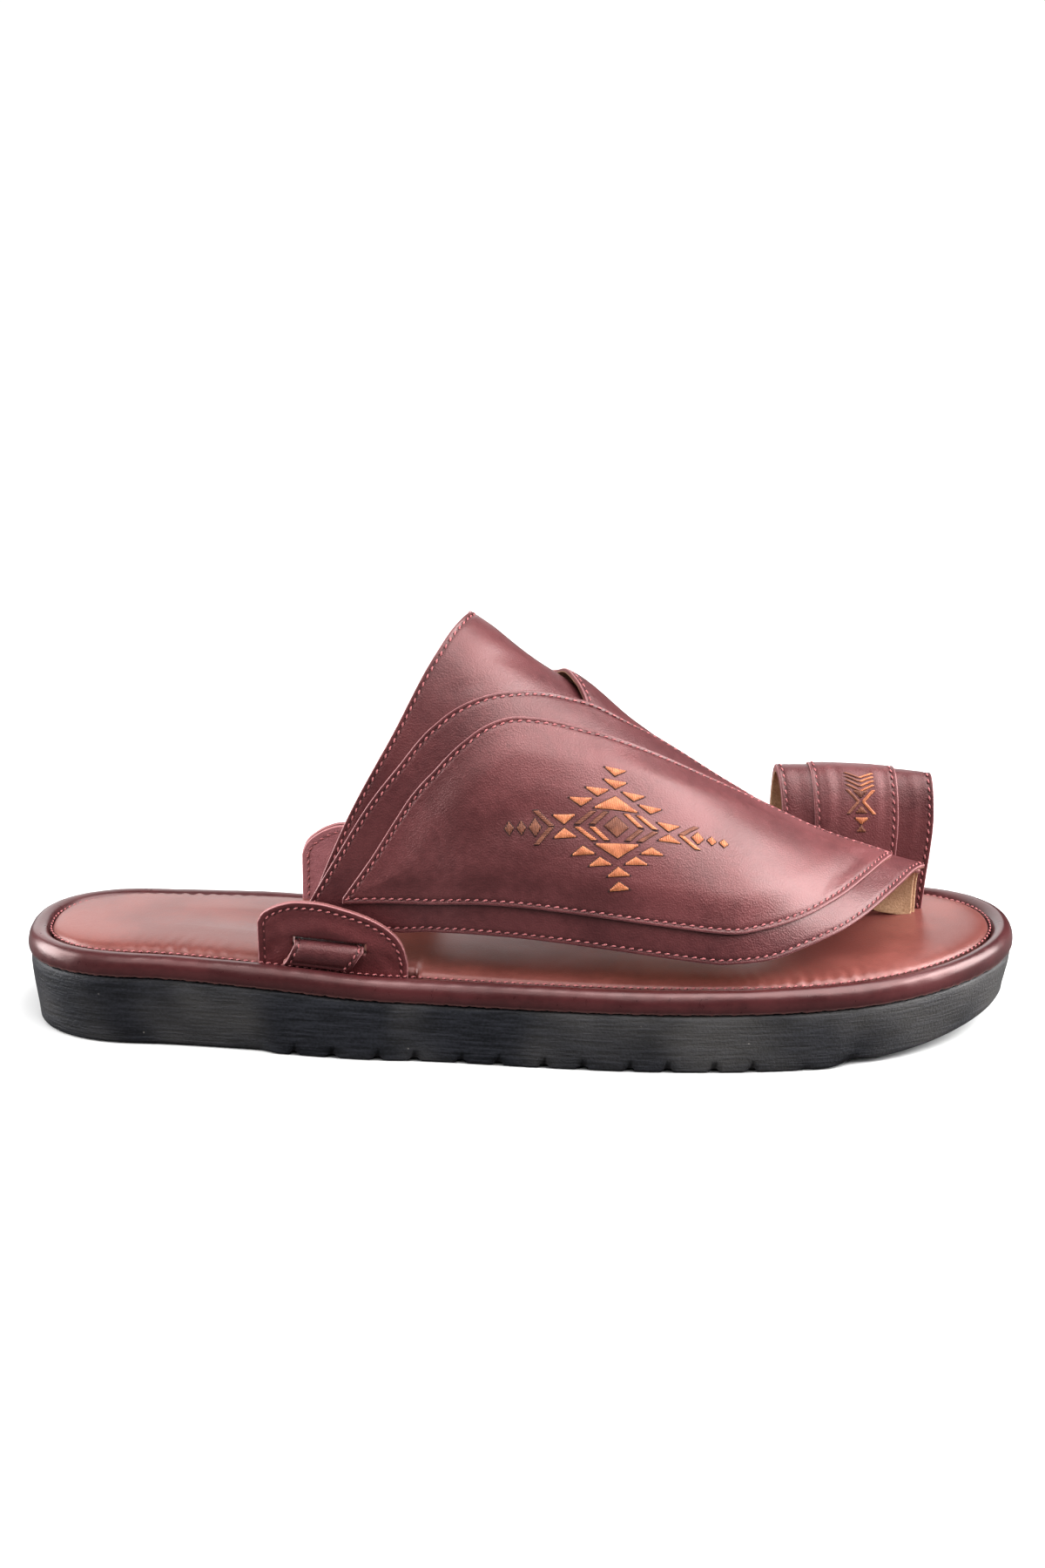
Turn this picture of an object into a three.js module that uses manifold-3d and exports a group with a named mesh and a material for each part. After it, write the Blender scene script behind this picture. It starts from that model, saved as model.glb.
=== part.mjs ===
// A right-foot leather sandal of the Arabian Gulf kind, built as a shoemaker puts it together:
// a rubber outsole, a leather-wrapped midsole with a rolled rim, a padded footbed, a crossed
// upper of three straps sewn into one, a leaf-shaped overlay, a toe loop with its band, and two
// half-moon ears whose slots the ends of the upper pass through as short tabs.
// Millimetres. +X runs to the toe, +Y to the inner (medial) side and +Z up from the ground.
import * as THREE from 'three';
import { mergeVertices } from 'three/addons/utils/BufferGeometryUtils.js';
import Module from 'manifold-3d';

const wasm = await Module();
wasm.setup();

// Plan of the sole
const LENGTH = 290;
const BALL_WIDTH = 97;
const WAIST_WIDTH = 73;
const HEEL_WIDTH = 63;
const HEEL_ROUND = 36;
const HEEL_FULLNESS = 2.35;
const TOE_ROUND = 72;
const TOE_FULLNESS = 2.2;

// Heights of the sole
const HEEL_THICKNESS = 21;
const FORE_THICKNESS = 17.2;
const TOE_LIFT = 4;
const TOE_SPRING = 9;
const EDGE_BEVEL = 1.3;
const BEVEL_INSET = 2.6;
const WELT_SETBACK = 0.9;
const WALL_HOLLOW = 0.3;
const END_TAPER = 1.6;

// Tread: grooves in pairs, from the front of the heel to the ball
const TREAD_STARTS = [80.5, 91.2];
const TREAD_PITCH = 23.7;
const TREAD_PAIRS = 6;
const TREAD_WIDTH = 2.4;
const TREAD_DEPTH = 1.4;

// Wrapped midsole and its rolled rim
const GAP = 0.3;
const BOARD = 2.5;
const RIM_CREST = 7.0;
const CREST_INSET = 3.0;
const GROOVE_LEVEL = 6.0;
const GROOVE_INSET = 6.3;
const RECESS_INSET = 6.8;

// Padded footbed
const PAD_RISE = 4.9;

// Straps of the upper
const STRAP_WALL = 2.0;
const LEAF_WALL = 2.2;
const MEDIAL_WALL = 1.8;
const OVERLAY_WALL = 1.2;
const BAND_WALL = 0.9;
const STRAP_OVERLAP = 0.5;
const ARCH_LIFT = 2.2;
const INSTEP_RISE = 95;
const STRAP_BASE = 24.5;
const STRAP_END = 0.029;

// Toe loop
const LOOP_WALL = 2.4;
const LOOP_HEIGHT = 68.2;
const LOOP_FALL = 2.3;
const LOOP_FULLNESS = 2.3;
const SLOT_DEPTH = 3;

// Ears and tabs
const EAR_WALL = 3.0;
const EAR_LENGTH = 42.8;
const LATERAL_EAR_HEIGHT = 23.1;
const MEDIAL_EAR_HEIGHT = 28.5;
const LATERAL_EAR_START = 70.2;
const MEDIAL_EAR_START = 79;
const EAR_LEAN = 2.5;
const TAB_WALL = 1.8;

// Fineness of the facets: stations along the sole, and cells across and along each sheet
const STATIONS = 34;
const CELLS = {
  strap: [6, 24],
  medialLeaf: [34, 8],
  lateralLeaf: [32, 8],
  overlay: [28, 6],
  loop: [6, 24],
  band: [5, 24],
  loopNotch: [8, 24],
  tipNotch: [10, 8],
  ear: [16, 4],
  earNotch: [16, 1],
  slot: [4, 1],
  tab: [3, 14],
};

// Outline of the sole. at is a share of the length from the heel; heel, waist and ball are the
// shares of those three widths that make the width there; shift is a share of the ball width.
const OUTLINE = [
  { at: 0.0, heel: 0.985, waist: 0, ball: 0, shift: 0.046 },
  { at: 0.124, heel: 1, waist: 0, ball: 0, shift: 0.031 },
  { at: 0.241, heel: 0.5, waist: 0.5, ball: 0, shift: 0.006 },
  { at: 0.379, heel: 0, waist: 1, ball: 0, shift: -0.031 },
  { at: 0.517, heel: 0, waist: 0.625, ball: 0.375, shift: -0.037 },
  { at: 0.638, heel: 0, waist: 0.19, ball: 0.81, shift: -0.019 },
  { at: 0.741, heel: 0, waist: 0, ball: 1, shift: 0.01 },
  { at: 0.845, heel: 0, waist: 0, ball: 1, shift: 0.035 },
  { at: 1.0, heel: 0, waist: 0, ball: 0.928, shift: 0.062 },
];

// Inner face of the upper, as laid on the last. ridge, lateral and medial are shares of the
// ball width, rise is a share of the instep rise, and the last two columns are the fullness of
// the two sides, where 2 is an ellipse.
const LAST = [
  { at: 0.24, ridge: 0.0, rise: 1.437, lateral: -0.215, medial: 0.2, outer: 2.0, inner: 2.0 },
  { at: 0.33, ridge: 0.005, rise: 1.226, lateral: -0.247, medial: 0.208, outer: 2.0, inner: 2.0 },
  { at: 0.385, ridge: 0.007, rise: 1.121, lateral: -0.272, medial: 0.211, outer: 2.0, inner: 2.0 },
  { at: 0.42, ridge: 0.009, rise: 1.056, lateral: -0.306, medial: 0.222, outer: 2.0, inner: 2.0 },
  { at: 0.45, ridge: 0.01, rise: 0.996, lateral: -0.34, medial: 0.268, outer: 2.05, inner: 2.05 },
  { at: 0.507, ridge: 0.007, rise: 0.855, lateral: -0.376, medial: 0.294, outer: 2.1, inner: 2.1 },
  { at: 0.57, ridge: 0.005, rise: 0.731, lateral: -0.407, medial: 0.32, outer: 2.1, inner: 2.1 },
  { at: 0.7, ridge: -0.01, rise: 0.453, lateral: -0.443, medial: 0.227, outer: 2.1, inner: 2.0 },
  { at: 0.793, ridge: 0.005, rise: 0.287, lateral: -0.392, medial: 0.1, outer: 2.0, inner: 2.0 },
  { at: 0.858, ridge: 0.021, rise: 0.214, lateral: -0.289, medial: 0.096, outer: 2.0, inner: 2.3 },
  { at: 0.914, ridge: 0.031, rise: 0.163, lateral: -0.165, medial: 0.096, outer: 2.0, inner: 2.6 },
];

// Edges of the instep strap. climb goes from 0 at the base of a side to 1 on the ridge.
const INSTEP_EDGES = [
  { climb: 0.058, rear: 0.287, front: 0.345, medialRear: 0.319, medialFront: 0.378 },
  { climb: 0.214, rear: 0.325, front: 0.382, medialRear: 0.347, medialFront: 0.39 },
  { climb: 0.442, rear: 0.38, front: 0.44, medialRear: 0.401, medialFront: 0.44 },
  { climb: 0.576, rear: 0.403, front: 0.475, medialRear: 0.423, medialFront: 0.475 },
  { climb: 0.738, rear: 0.425, front: 0.52, medialRear: 0.438, medialFront: 0.52 },
  { climb: 0.88, rear: 0.439, front: 0.56, medialRear: 0.445, medialFront: 0.56 },
  { climb: 1.0, rear: 0.447, front: 0.58, medialRear: 0.447, medialFront: 0.58 },
];

// Borders of the lateral leaf: turn is 0 at the lateral base, 0.5 on the ridge and 1 at the
// medial base, and each row gives the lower and the upper border at a share of the length.
const LATERAL_LEAF = [
  { at: 0.29, lower: 0.034, upper: 0.042 },
  { at: 0.303, lower: 0.031, upper: 0.061 },
  { at: 0.324, lower: 0.03, upper: 0.092 },
  { at: 0.352, lower: 0.031, upper: 0.137 },
  { at: 0.387, lower: 0.033, upper: 0.19 },
  { at: 0.415, lower: 0.038, upper: 0.238 },
  { at: 0.449, lower: 0.041, upper: 0.29 },
  { at: 0.482, lower: 0.043, upper: 0.341 },
  { at: 0.513, lower: 0.045, upper: 0.388 },
  { at: 0.55, lower: 0.046, upper: 0.425 },
  { at: 0.583, lower: 0.046, upper: 0.442 },
  { at: 0.62, lower: 0.046, upper: 0.477 },
  { at: 0.687, lower: 0.045, upper: 0.52 },
  { at: 0.708, lower: 0.05, upper: 0.533 },
  { at: 0.736, lower: 0.063, upper: 0.552 },
  { at: 0.77, lower: 0.1, upper: 0.577 },
  { at: 0.805, lower: 0.151, upper: 0.607 },
  { at: 0.834, lower: 0.212, upper: 0.67 },
  { at: 0.854, lower: 0.272, upper: 0.78 },
  { at: 0.872, lower: 0.342, upper: 0.93 },
  { at: 0.904, lower: 0.508, upper: 0.985 },
];

// Borders of the medial leaf, with its turn counted from the medial base.
const MEDIAL_LEAF = [
  { at: 0.326, lower: 0.032, upper: 0.04 },
  { at: 0.344, lower: 0.03, upper: 0.085 },
  { at: 0.372, lower: 0.029, upper: 0.155 },
  { at: 0.408, lower: 0.035, upper: 0.235 },
  { at: 0.449, lower: 0.043, upper: 0.301 },
  { at: 0.496, lower: 0.047, upper: 0.369 },
  { at: 0.529, lower: 0.049, upper: 0.418 },
  { at: 0.541, lower: 0.049, upper: 0.5 },
  { at: 0.556, lower: 0.05, upper: 0.556 },
  { at: 0.575, lower: 0.05, upper: 0.63 },
  { at: 0.64, lower: 0.062, upper: 0.65 },
  { at: 0.7, lower: 0.1, upper: 0.64 },
  { at: 0.75, lower: 0.165, upper: 0.62 },
  { at: 0.8, lower: 0.2, upper: 0.6 },
  { at: 0.84, lower: 0.14, upper: 0.58 },
  { at: 0.862, lower: 0.04, upper: 0.56 },
  { at: 0.9, lower: 0.015, upper: 0.52 },
];

// Borders of the overlay on the lateral leaf.
const OVERLAY = [
  { at: 0.328, lower: 0.052, upper: 0.056 },
  { at: 0.357, lower: 0.056, upper: 0.095 },
  { at: 0.396, lower: 0.061, upper: 0.158 },
  { at: 0.436, lower: 0.068, upper: 0.22 },
  { at: 0.466, lower: 0.073, upper: 0.272 },
  { at: 0.491, lower: 0.077, upper: 0.308 },
  { at: 0.518, lower: 0.081, upper: 0.333 },
  { at: 0.59, lower: 0.088, upper: 0.376 },
  { at: 0.655, lower: 0.097, upper: 0.425 },
  { at: 0.7, lower: 0.105, upper: 0.463 },
  { at: 0.733, lower: 0.13, upper: 0.487 },
  { at: 0.768, lower: 0.174, upper: 0.507 },
  { at: 0.805, lower: 0.248, upper: 0.52 },
  { at: 0.826, lower: 0.308, upper: 0.522 },
  { at: 0.847, lower: 0.382, upper: 0.518 },
  { at: 0.867, lower: 0.476, upper: 0.502 },
];

// Edges of the toe loop, from its lateral foot at turn 0 to its medial foot at turn 1, and of
// the band sewn over it, as shares of the loop's own width.
const LOOP_EDGES = [
  { turn: 0, rear: 0.7724, front: 0.912 },
  { turn: 0.25, rear: 0.769, front: 0.9224 },
  { turn: 0.5, rear: 0.7638, front: 0.9207 },
  { turn: 0.75, rear: 0.7614, front: 0.9172 },
  { turn: 1, rear: 0.7603, front: 0.9103 },
];
const LOOP_FOOT = [
  { at: 0.76, lateral: 0.19 },
  { at: 0.858, lateral: 0.16 },
  { at: 0.93, lateral: 0.152 },
];
const BAND = { rear: 0.21, front: 0.765, foot: 0.022 };

// Outline of an ear as shares of its length and height, and its slot.
const EAR_OUTLINE = [
  { along: 0, up: 0.66 },
  { along: 0.03, up: 0.77 },
  { along: 0.09, up: 0.86 },
  { along: 0.17, up: 0.935 },
  { along: 0.265, up: 0.985 },
  { along: 0.4, up: 1 },
  { along: 0.6, up: 0.945 },
  { along: 0.77, up: 0.845 },
  { along: 0.9, up: 0.69 },
  { along: 0.975, up: 0.49 },
  { along: 1, up: 0.286 },
];
const SLOT = { rear: 0.235, front: 0.73, bottom: 9.2, top: 12.4 };

// Path of a tab from inside the ear, out through its slot and down to the rim: out is measured
// from the ear's outer face and up from the bed of the midsole, both in millimetres of the ear.
const TAB_PATH = [
  { out: -5.0, up: 10.7 },
  { out: -2.4, up: 10.8 },
  { out: 0.2, up: 10.6 },
  { out: 1.9, up: 9.4 },
  { out: 2.5, up: 7.4 },
  { out: 2.1, up: 5.4 },
  { out: 1.5, up: 4.1 },
];
const TAB_EDGES = { rearTop: 0.25, rearFoot: 0.17, frontTop: 0.71, frontFoot: 0.6 };

const COLOURS = {
  rubber: { color: 0x2b2d33, roughness: 0.55, metalness: 0 },
  rim: { color: 0x5c262b, roughness: 0.38, metalness: 0 },
  bed: { color: 0x9a5a55, roughness: 0.4, metalness: 0 },
  strap: { color: 0x6e3a40, roughness: 0.42, metalness: 0 },
  panel: { color: 0x7a4248, roughness: 0.42, metalness: 0 },
  loop: { color: 0x744047, roughness: 0.42, metalness: 0 },
};

// Monotone cubic through the rows of a table, as one function for each named column.
function follow(rows, key, column) {
  const x = rows.map((row) => row[key]);
  const y = rows.map((row) => row[column]);
  const last = x.length - 1;
  const run = x.slice(1).map((value, i) => value - x[i]);
  const slope = run.map((width, i) => (y[i + 1] - y[i]) / width);
  const tangent = y.map((_, i) => {
    if (i === 0) return slope[0];
    if (i === last) return slope[last - 1];
    if (slope[i - 1] * slope[i] <= 0) return 0;
    const before = 2 * run[i] + run[i - 1];
    const after = run[i] + 2 * run[i - 1];
    return (before + after) / (before / slope[i - 1] + after / slope[i]);
  });
  return (value) => {
    const at = THREE.MathUtils.clamp(value, x[0], x[last]);
    let i = 0;
    while (i < last - 1 && at > x[i + 1]) i += 1;
    const t = (at - x[i]) / run[i];
    const rise = y[i] * (1 + 2 * t) * (1 - t) ** 2 + y[i + 1] * t * t * (3 - 2 * t);
    return rise + run[i] * (tangent[i] * t * (1 - t) ** 2 - tangent[i + 1] * t * t * (1 - t));
  };
}

const blend = (a, b, t) => a + (b - a) * t;
const roundEnd = (t, n) => (1 - (1 - THREE.MathUtils.clamp(t, 0, 1)) ** n) ** (1 / n);
const lengthwise = (at) => at * LENGTH - LENGTH / 2;
const share = (x) => (x + LENGTH / 2) / LENGTH;

const heelShare = follow(OUTLINE, 'at', 'heel');
const waistShare = follow(OUTLINE, 'at', 'waist');
const ballShare = follow(OUTLINE, 'at', 'ball');
const sideShift = follow(OUTLINE, 'at', 'shift');

// The lateral and medial edge of the sole at x, drawn in from the outline by an inset.
function soleEdge(x, inset) {
  const at = share(x);
  const s = at * LENGTH;
  const width = heelShare(at) * HEEL_WIDTH + waistShare(at) * WAIST_WIDTH
    + ballShare(at) * BALL_WIDTH;
  const half = (width / 2 - inset)
    * roundEnd((s - inset) / (HEEL_ROUND - inset), HEEL_FULLNESS)
    * roundEnd((LENGTH - inset - s) / (TOE_ROUND - inset), TOE_FULLNESS);
  const centre = sideShift(at) * BALL_WIDTH;
  return { lateral: centre - half, medial: centre + half };
}

// Top and bottom of the outsole along the length.
const FALL_START = 0.1;
const FALL_END = 0.45;
const LIFT_START = 0.707;
const SPRING_START = 0.765;

function soleTop(x) {
  const at = share(x);
  const fall = THREE.MathUtils.smoothstep(at, FALL_START, FALL_END);
  const lift = Math.max(0, (at - LIFT_START) / (1 - LIFT_START)) ** 2;
  return blend(HEEL_THICKNESS, FORE_THICKNESS, fall) + TOE_LIFT * lift;
}

function soleBottom(x) {
  return TOE_SPRING * Math.max(0, (share(x) - SPRING_START) / (1 - SPRING_START)) ** 2;
}

const bedLevel = (x) => soleTop(x) + GAP + BOARD + GAP;

// One closed ring round the sole, with its inset and its height given by functions of x. It runs
// from the heel along the lateral side to the toe, and back along the medial side.
function variedRing(inset, height) {
  const lateral = [];
  const medial = [];
  for (let i = 0; i <= STATIONS; i += 1) {
    const turn = Math.cos((Math.PI * i) / STATIONS);
    const drawn = inset(-(LENGTH / 2) * turn);
    const x = -(LENGTH / 2 - drawn) * turn;
    const edge = soleEdge(x, drawn);
    lateral.push(new THREE.Vector3(x, edge.lateral, height(x)));
    if (i > 0 && i < STATIONS) medial.unshift(new THREE.Vector3(x, edge.medial, height(x)));
  }
  return [...lateral, ...medial];
}

const soleRing = (inset, height) => variedRing(() => inset, height);

function closedGeometry(points, triangles) {
  const geometry = new THREE.BufferGeometry();
  const flat = points.flatMap((point) => [point.x, point.y, point.z]);
  geometry.setAttribute('position', new THREE.Float32BufferAttribute(flat, 3));
  geometry.setIndex(triangles.flat());
  let volume = 0;
  triangles.forEach(([a, b, c]) => {
    volume += points[a].dot(new THREE.Vector3().crossVectors(points[b], points[c]));
  });
  if (volume < 0) geometry.setIndex(triangles.flatMap(([a, b, c]) => [a, c, b]));
  return geometry;
}

// A solid skinned over rings from bottom to top, its two ends closed by rungs between the sides.
function ringSolid(rings) {
  const count = rings[0].length;
  const points = rings.flat();
  const triangles = [];
  for (let r = 0; r < rings.length - 1; r += 1) {
    for (let i = 0; i < count; i += 1) {
      const j = (i + 1) % count;
      const [a, b, c, d] = [r * count + i, r * count + j, (r + 1) * count + j, (r + 1) * count + i];
      triangles.push([a, b, c], [a, c, d]);
    }
  }
  const top = (rings.length - 1) * count;
  for (let i = 0; i < STATIONS; i += 1) {
    const [near, next] = [i, i + 1];
    const [far, beyond] = [(count - i) % count, count - i - 1];
    const pairs = [[near, far, next], [next, far, beyond]];
    pairs.filter(([a, b, c]) => a !== b && b !== c && a !== c).forEach(([a, b, c]) => {
      triangles.push([a, b, c], [top + a, top + c, top + b]);
    });
  }
  return closedGeometry(points, triangles);
}

// A solid sheet between two faces, each a function of u and v from 0 to 1.
function sheetSolid(outerFace, innerFace, [across, along]) {
  const points = [];
  for (const face of [outerFace, innerFace]) {
    for (let i = 0; i <= across; i += 1) {
      for (let j = 0; j <= along; j += 1) points.push(face(i / across, j / along));
    }
  }
  const layer = (across + 1) * (along + 1);
  const at = (i, j) => i * (along + 1) + j;
  const triangles = [];
  const quad = (a, b, c, d) => triangles.push([a, b, c], [a, c, d]);
  for (let i = 0; i < across; i += 1) {
    for (let j = 0; j < along; j += 1) {
      const corner = [at(i, j), at(i + 1, j), at(i + 1, j + 1), at(i, j + 1)];
      quad(...corner);
      quad(...corner.map((k) => k + layer).reverse());
    }
  }
  for (let i = 0; i < across; i += 1) {
    quad(at(i + 1, 0), at(i, 0), at(i, 0) + layer, at(i + 1, 0) + layer);
    quad(at(i, along), at(i + 1, along), at(i + 1, along) + layer, at(i, along) + layer);
  }
  for (let j = 0; j < along; j += 1) {
    quad(at(0, j), at(0, j + 1), at(0, j + 1) + layer, at(0, j) + layer);
    quad(at(across, j + 1), at(across, j), at(across, j) + layer, at(across, j + 1) + layer);
  }
  return closedGeometry(points, triangles);
}

function toManifold(geometry) {
  const plain = geometry.clone();
  plain.deleteAttribute('normal');
  plain.deleteAttribute('uv');
  const merged = mergeVertices(plain, 1e-4);
  return new wasm.Manifold(new wasm.Mesh({
    numProp: 3,
    vertProperties: new Float32Array(merged.attributes.position.array),
    triVerts: new Uint32Array(merged.index.array),
  }));
}

function fromManifold(solid) {
  const mesh = solid.getMesh();
  const geometry = new THREE.BufferGeometry();
  geometry.setAttribute('position', new THREE.BufferAttribute(mesh.vertProperties, 3));
  geometry.setIndex(new THREE.BufferAttribute(mesh.triVerts, 1));
  return geometry;
}

const join = (list) => fromManifold(list.map(toManifold).reduce((sum, next) => sum.add(next)));

function cut(body, tools) {
  return fromManifold(tools.map(toManifold).reduce((rest, tool) => rest.subtract(tool),
    toManifold(body)));
}

// The last's surface
const lastColumns = Object.fromEntries(
  ['ridge', 'rise', 'lateral', 'medial', 'outer', 'inner'].map((c) => [c, follow(LAST, 'at', c)]),
);

function lastPoint(x, turn) {
  const at = share(x);
  const angle = turn * Math.PI;
  const lateralSide = turn < 0.5;
  const fullness = lateralSide ? lastColumns.outer(at) : lastColumns.inner(at);
  const spread = Math.abs(Math.cos(angle)) ** (2 / fullness);
  const climb = Math.sin(angle) ** (2 / fullness);
  const ridge = lastColumns.ridge(at);
  const base = lateralSide ? lastColumns.lateral(at) : lastColumns.medial(at);
  return new THREE.Vector3(
    x,
    blend(ridge, base, spread) * BALL_WIDTH,
    STRAP_BASE + lastColumns.rise(at) * INSTEP_RISE * climb,
  );
}

const PROBE_X = 0.01;
const PROBE_TURN = 0.0005;

function offLast(x, turn, offset) {
  const alongX = lastPoint(x + PROBE_X, turn).sub(lastPoint(x - PROBE_X, turn));
  const aroundTurn = lastPoint(x, turn + PROBE_TURN).sub(lastPoint(x, turn - PROBE_TURN));
  const outward = alongX.cross(aroundTurn).normalize();
  return lastPoint(x, turn).addScaledVector(outward, offset);
}

// Layers of the upper, as offsets of their inner and outer faces from the last
const MEDIAL_INNER = STRAP_WALL - STRAP_OVERLAP;
const MEDIAL_OUTER = MEDIAL_INNER + MEDIAL_WALL;
const LEAF_INNER = STRAP_WALL - STRAP_OVERLAP;
const LEAF_OUTER = LEAF_INNER + LEAF_WALL;
const OVERLAY_INNER = LEAF_OUTER + GAP;
const OVERLAY_OUTER = OVERLAY_INNER + OVERLAY_WALL;

function instepStrap() {
  const edge = Object.fromEntries(['rear', 'front', 'medialRear', 'medialFront']
    .map((column) => [column, follow(INSTEP_EDGES, 'climb', column)]));
  const face = (offset) => (u, v) => {
    const turn = blend(STRAP_END, 1 - STRAP_END, v);
    const climb = 1 - Math.abs(2 * turn - 1);
    const [rear, front] = turn < 0.5
      ? [edge.rear(climb), edge.front(climb)]
      : [edge.medialRear(climb), edge.medialFront(climb)];
    return offLast(lengthwise(blend(rear, front, u)), turn, offset);
  };
  return sheetSolid(face(STRAP_WALL), face(0), CELLS.strap);
}

// A leaf between two borders of a table; lift raises it where it arches clear.
function leafSheet(rows, inner, outer, mirrored, cells, lift = () => 0) {
  const lower = follow(rows, 'at', 'lower');
  const upper = follow(rows, 'at', 'upper');
  const [first, last] = [rows[0].at, rows[rows.length - 1].at];
  const face = (offset) => (u, v) => {
    const at = blend(first, last, u);
    const turn = blend(lower(at), upper(at), v);
    const x = lengthwise(at);
    return offLast(x, mirrored ? 1 - turn : turn, offset + lift(at, turn));
  };
  return sheetSolid(face(outer), face(inner), cells);
}

// The medial leaf's rear edge arches clear of the instep strap over the ridge.
const ARCH = { from: 0.5, peak: 0.545, to: 0.61, low: 0.33, crown: 0.47, fall: 0.52, high: 0.6 };

function archLift(at, turn) {
  const lengthShare = THREE.MathUtils.smoothstep(at, ARCH.from, ARCH.peak)
    * (1 - THREE.MathUtils.smoothstep(at, ARCH.peak, ARCH.to));
  const turnShare = THREE.MathUtils.smoothstep(turn, ARCH.low, ARCH.crown)
    * (1 - THREE.MathUtils.smoothstep(turn, ARCH.fall, ARCH.high));
  return ARCH_LIFT * lengthShare * turnShare;
}

function upper() {
  return join([
    instepStrap(),
    leafSheet(MEDIAL_LEAF, MEDIAL_INNER, MEDIAL_OUTER, true, CELLS.medialLeaf, archLift),
    leafSheet(LATERAL_LEAF, LEAF_INNER, LEAF_OUTER, false, CELLS.lateralLeaf),
  ]);
}

function leafOverlay() {
  return leafSheet(OVERLAY, OVERLAY_INNER, OVERLAY_OUTER, false, CELLS.overlay);
}

// The toe loop, an arch over the great toe
const loopRear = follow(LOOP_EDGES, 'turn', 'rear');
const loopFront = follow(LOOP_EDGES, 'turn', 'front');
const loopFoot = follow(LOOP_FOOT, 'at', 'lateral');

function loopPoint(u, turn, offset, drop) {
  const at = blend(loopRear(turn), loopFront(turn), u);
  const x = lengthwise(at);
  const near = loopFoot(at) * BALL_WIDTH;
  const far = soleEdge(x, RECESS_INSET + GAP).medial;
  const foot = bedLevel(x) + PAD_RISE - SLOT_DEPTH;
  const top = LOOP_HEIGHT - LOOP_FALL * (at - loopRear(0.5)) / (loopFront(0.5) - loopRear(0.5));
  const angle = turn * Math.PI;
  const spread = Math.sign(Math.cos(angle)) * Math.abs(Math.cos(angle)) ** (2 / LOOP_FULLNESS);
  const climb = Math.sin(angle) ** (2 / LOOP_FULLNESS);
  const half = (far - near) / 2 + offset;
  return new THREE.Vector3(
    x,
    (near + far) / 2 - half * spread,
    foot - drop + (top - foot + offset + drop) * climb,
  );
}

function loopSheet({ rear, front, foot }, inner, outer, cells, drop = 0) {
  const face = (offset) => (u, v) => (
    loopPoint(blend(rear, front, u), blend(foot, 1 - foot, v), offset, drop));
  return sheetSolid(face(outer), face(inner), cells);
}

const WHOLE_LOOP = { rear: 0, front: 1, foot: 0 };
const LOOP_SLOT = { rear: -0.01, front: 1.01, foot: 0 };
const toeLoop = () => loopSheet(WHOLE_LOOP, -LOOP_WALL, 0, CELLS.loop);
const toeLoopBand = () => loopSheet(BAND, GAP, GAP + BAND_WALL, CELLS.band);

// Ears. A point of an ear is given along it, up from the bed and out from its outer face.
const EARS = {
  lateral: { side: -1, start: LATERAL_EAR_START, height: LATERAL_EAR_HEIGHT },
  medial: { side: 1, start: MEDIAL_EAR_START, height: MEDIAL_EAR_HEIGHT },
};
const LEAN_START = 5;
const CUT_PAST = 1;

function earPoint(ear, along, up, out) {
  const x = ear.start - LENGTH / 2 + along;
  const edge = soleEdge(x, RECESS_INSET + GAP);
  const lean = (EAR_LEAN * Math.max(0, up - LEAN_START)) / LATERAL_EAR_HEIGHT;
  const y = (ear.side < 0 ? edge.lateral : edge.medial) + ear.side * (out + lean);
  return new THREE.Vector3(x, y, bedLevel(x) + up);
}

function earSolid(ear) {
  const crown = follow(EAR_OUTLINE, 'along', 'up');
  const face = (out) => (u, v) => (
    earPoint(ear, u * EAR_LENGTH, v * crown(u) * ear.height, out));
  const slotFace = (out) => (u, v) => earPoint(
    ear, blend(SLOT.rear, SLOT.front, u) * EAR_LENGTH, blend(SLOT.bottom, SLOT.top, v), out,
  );
  return cut(sheetSolid(face(0), face(-EAR_WALL), CELLS.ear), [
    sheetSolid(slotFace(CUT_PAST), slotFace(-EAR_WALL - CUT_PAST), CELLS.slot),
  ]);
}

// The notch that an ear stands in, cut in the edge of the footbed.
function earNotch(ear) {
  const face = (out) => (u, v) => (
    earPoint(ear, blend(-GAP, EAR_LENGTH + GAP, u), blend(-CUT_PAST, LEAN_START, v), out));
  return sheetSolid(face(CUT_PAST), face(-EAR_WALL - GAP), CELLS.earNotch);
}

// A tab: the end of the upper, out through the ear's slot and down to the rim.
function strapTab(ear) {
  const path = new THREE.CatmullRomCurve3(TAB_PATH.map(({ out, up }) => (
    new THREE.Vector3(out, up, 0))));
  const face = (offset) => (u, v) => {
    const centre = path.getPoint(v);
    const tangent = path.getTangent(v);
    const out = centre.x - tangent.y * offset;
    const up = centre.y + tangent.x * offset;
    const rear = blend(TAB_EDGES.rearTop, TAB_EDGES.rearFoot, Math.max(0, 2 * v - 1));
    const front = blend(TAB_EDGES.frontTop, TAB_EDGES.frontFoot, Math.max(0, 2 * v - 1));
    return earPoint(ear, blend(rear, front, u) * EAR_LENGTH, up, out);
  };
  return sheetSolid(face(TAB_WALL / 2), face(-TAB_WALL / 2), CELLS.tab);
}

// The sole
const above = (level) => (x) => soleTop(x) + level;

// The rubber is drawn in towards the ground round the heel and the toe.
const HEEL_ZONE = { from: 0.235, to: 0.262 };
const TOE_ZONE = { from: 0.807, to: 0.834 };

function endTaper(x) {
  const heel = 1 - THREE.MathUtils.smoothstep(share(x), HEEL_ZONE.from, HEEL_ZONE.to);
  return END_TAPER * (heel + THREE.MathUtils.smoothstep(share(x), TOE_ZONE.from, TOE_ZONE.to));
}

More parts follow.
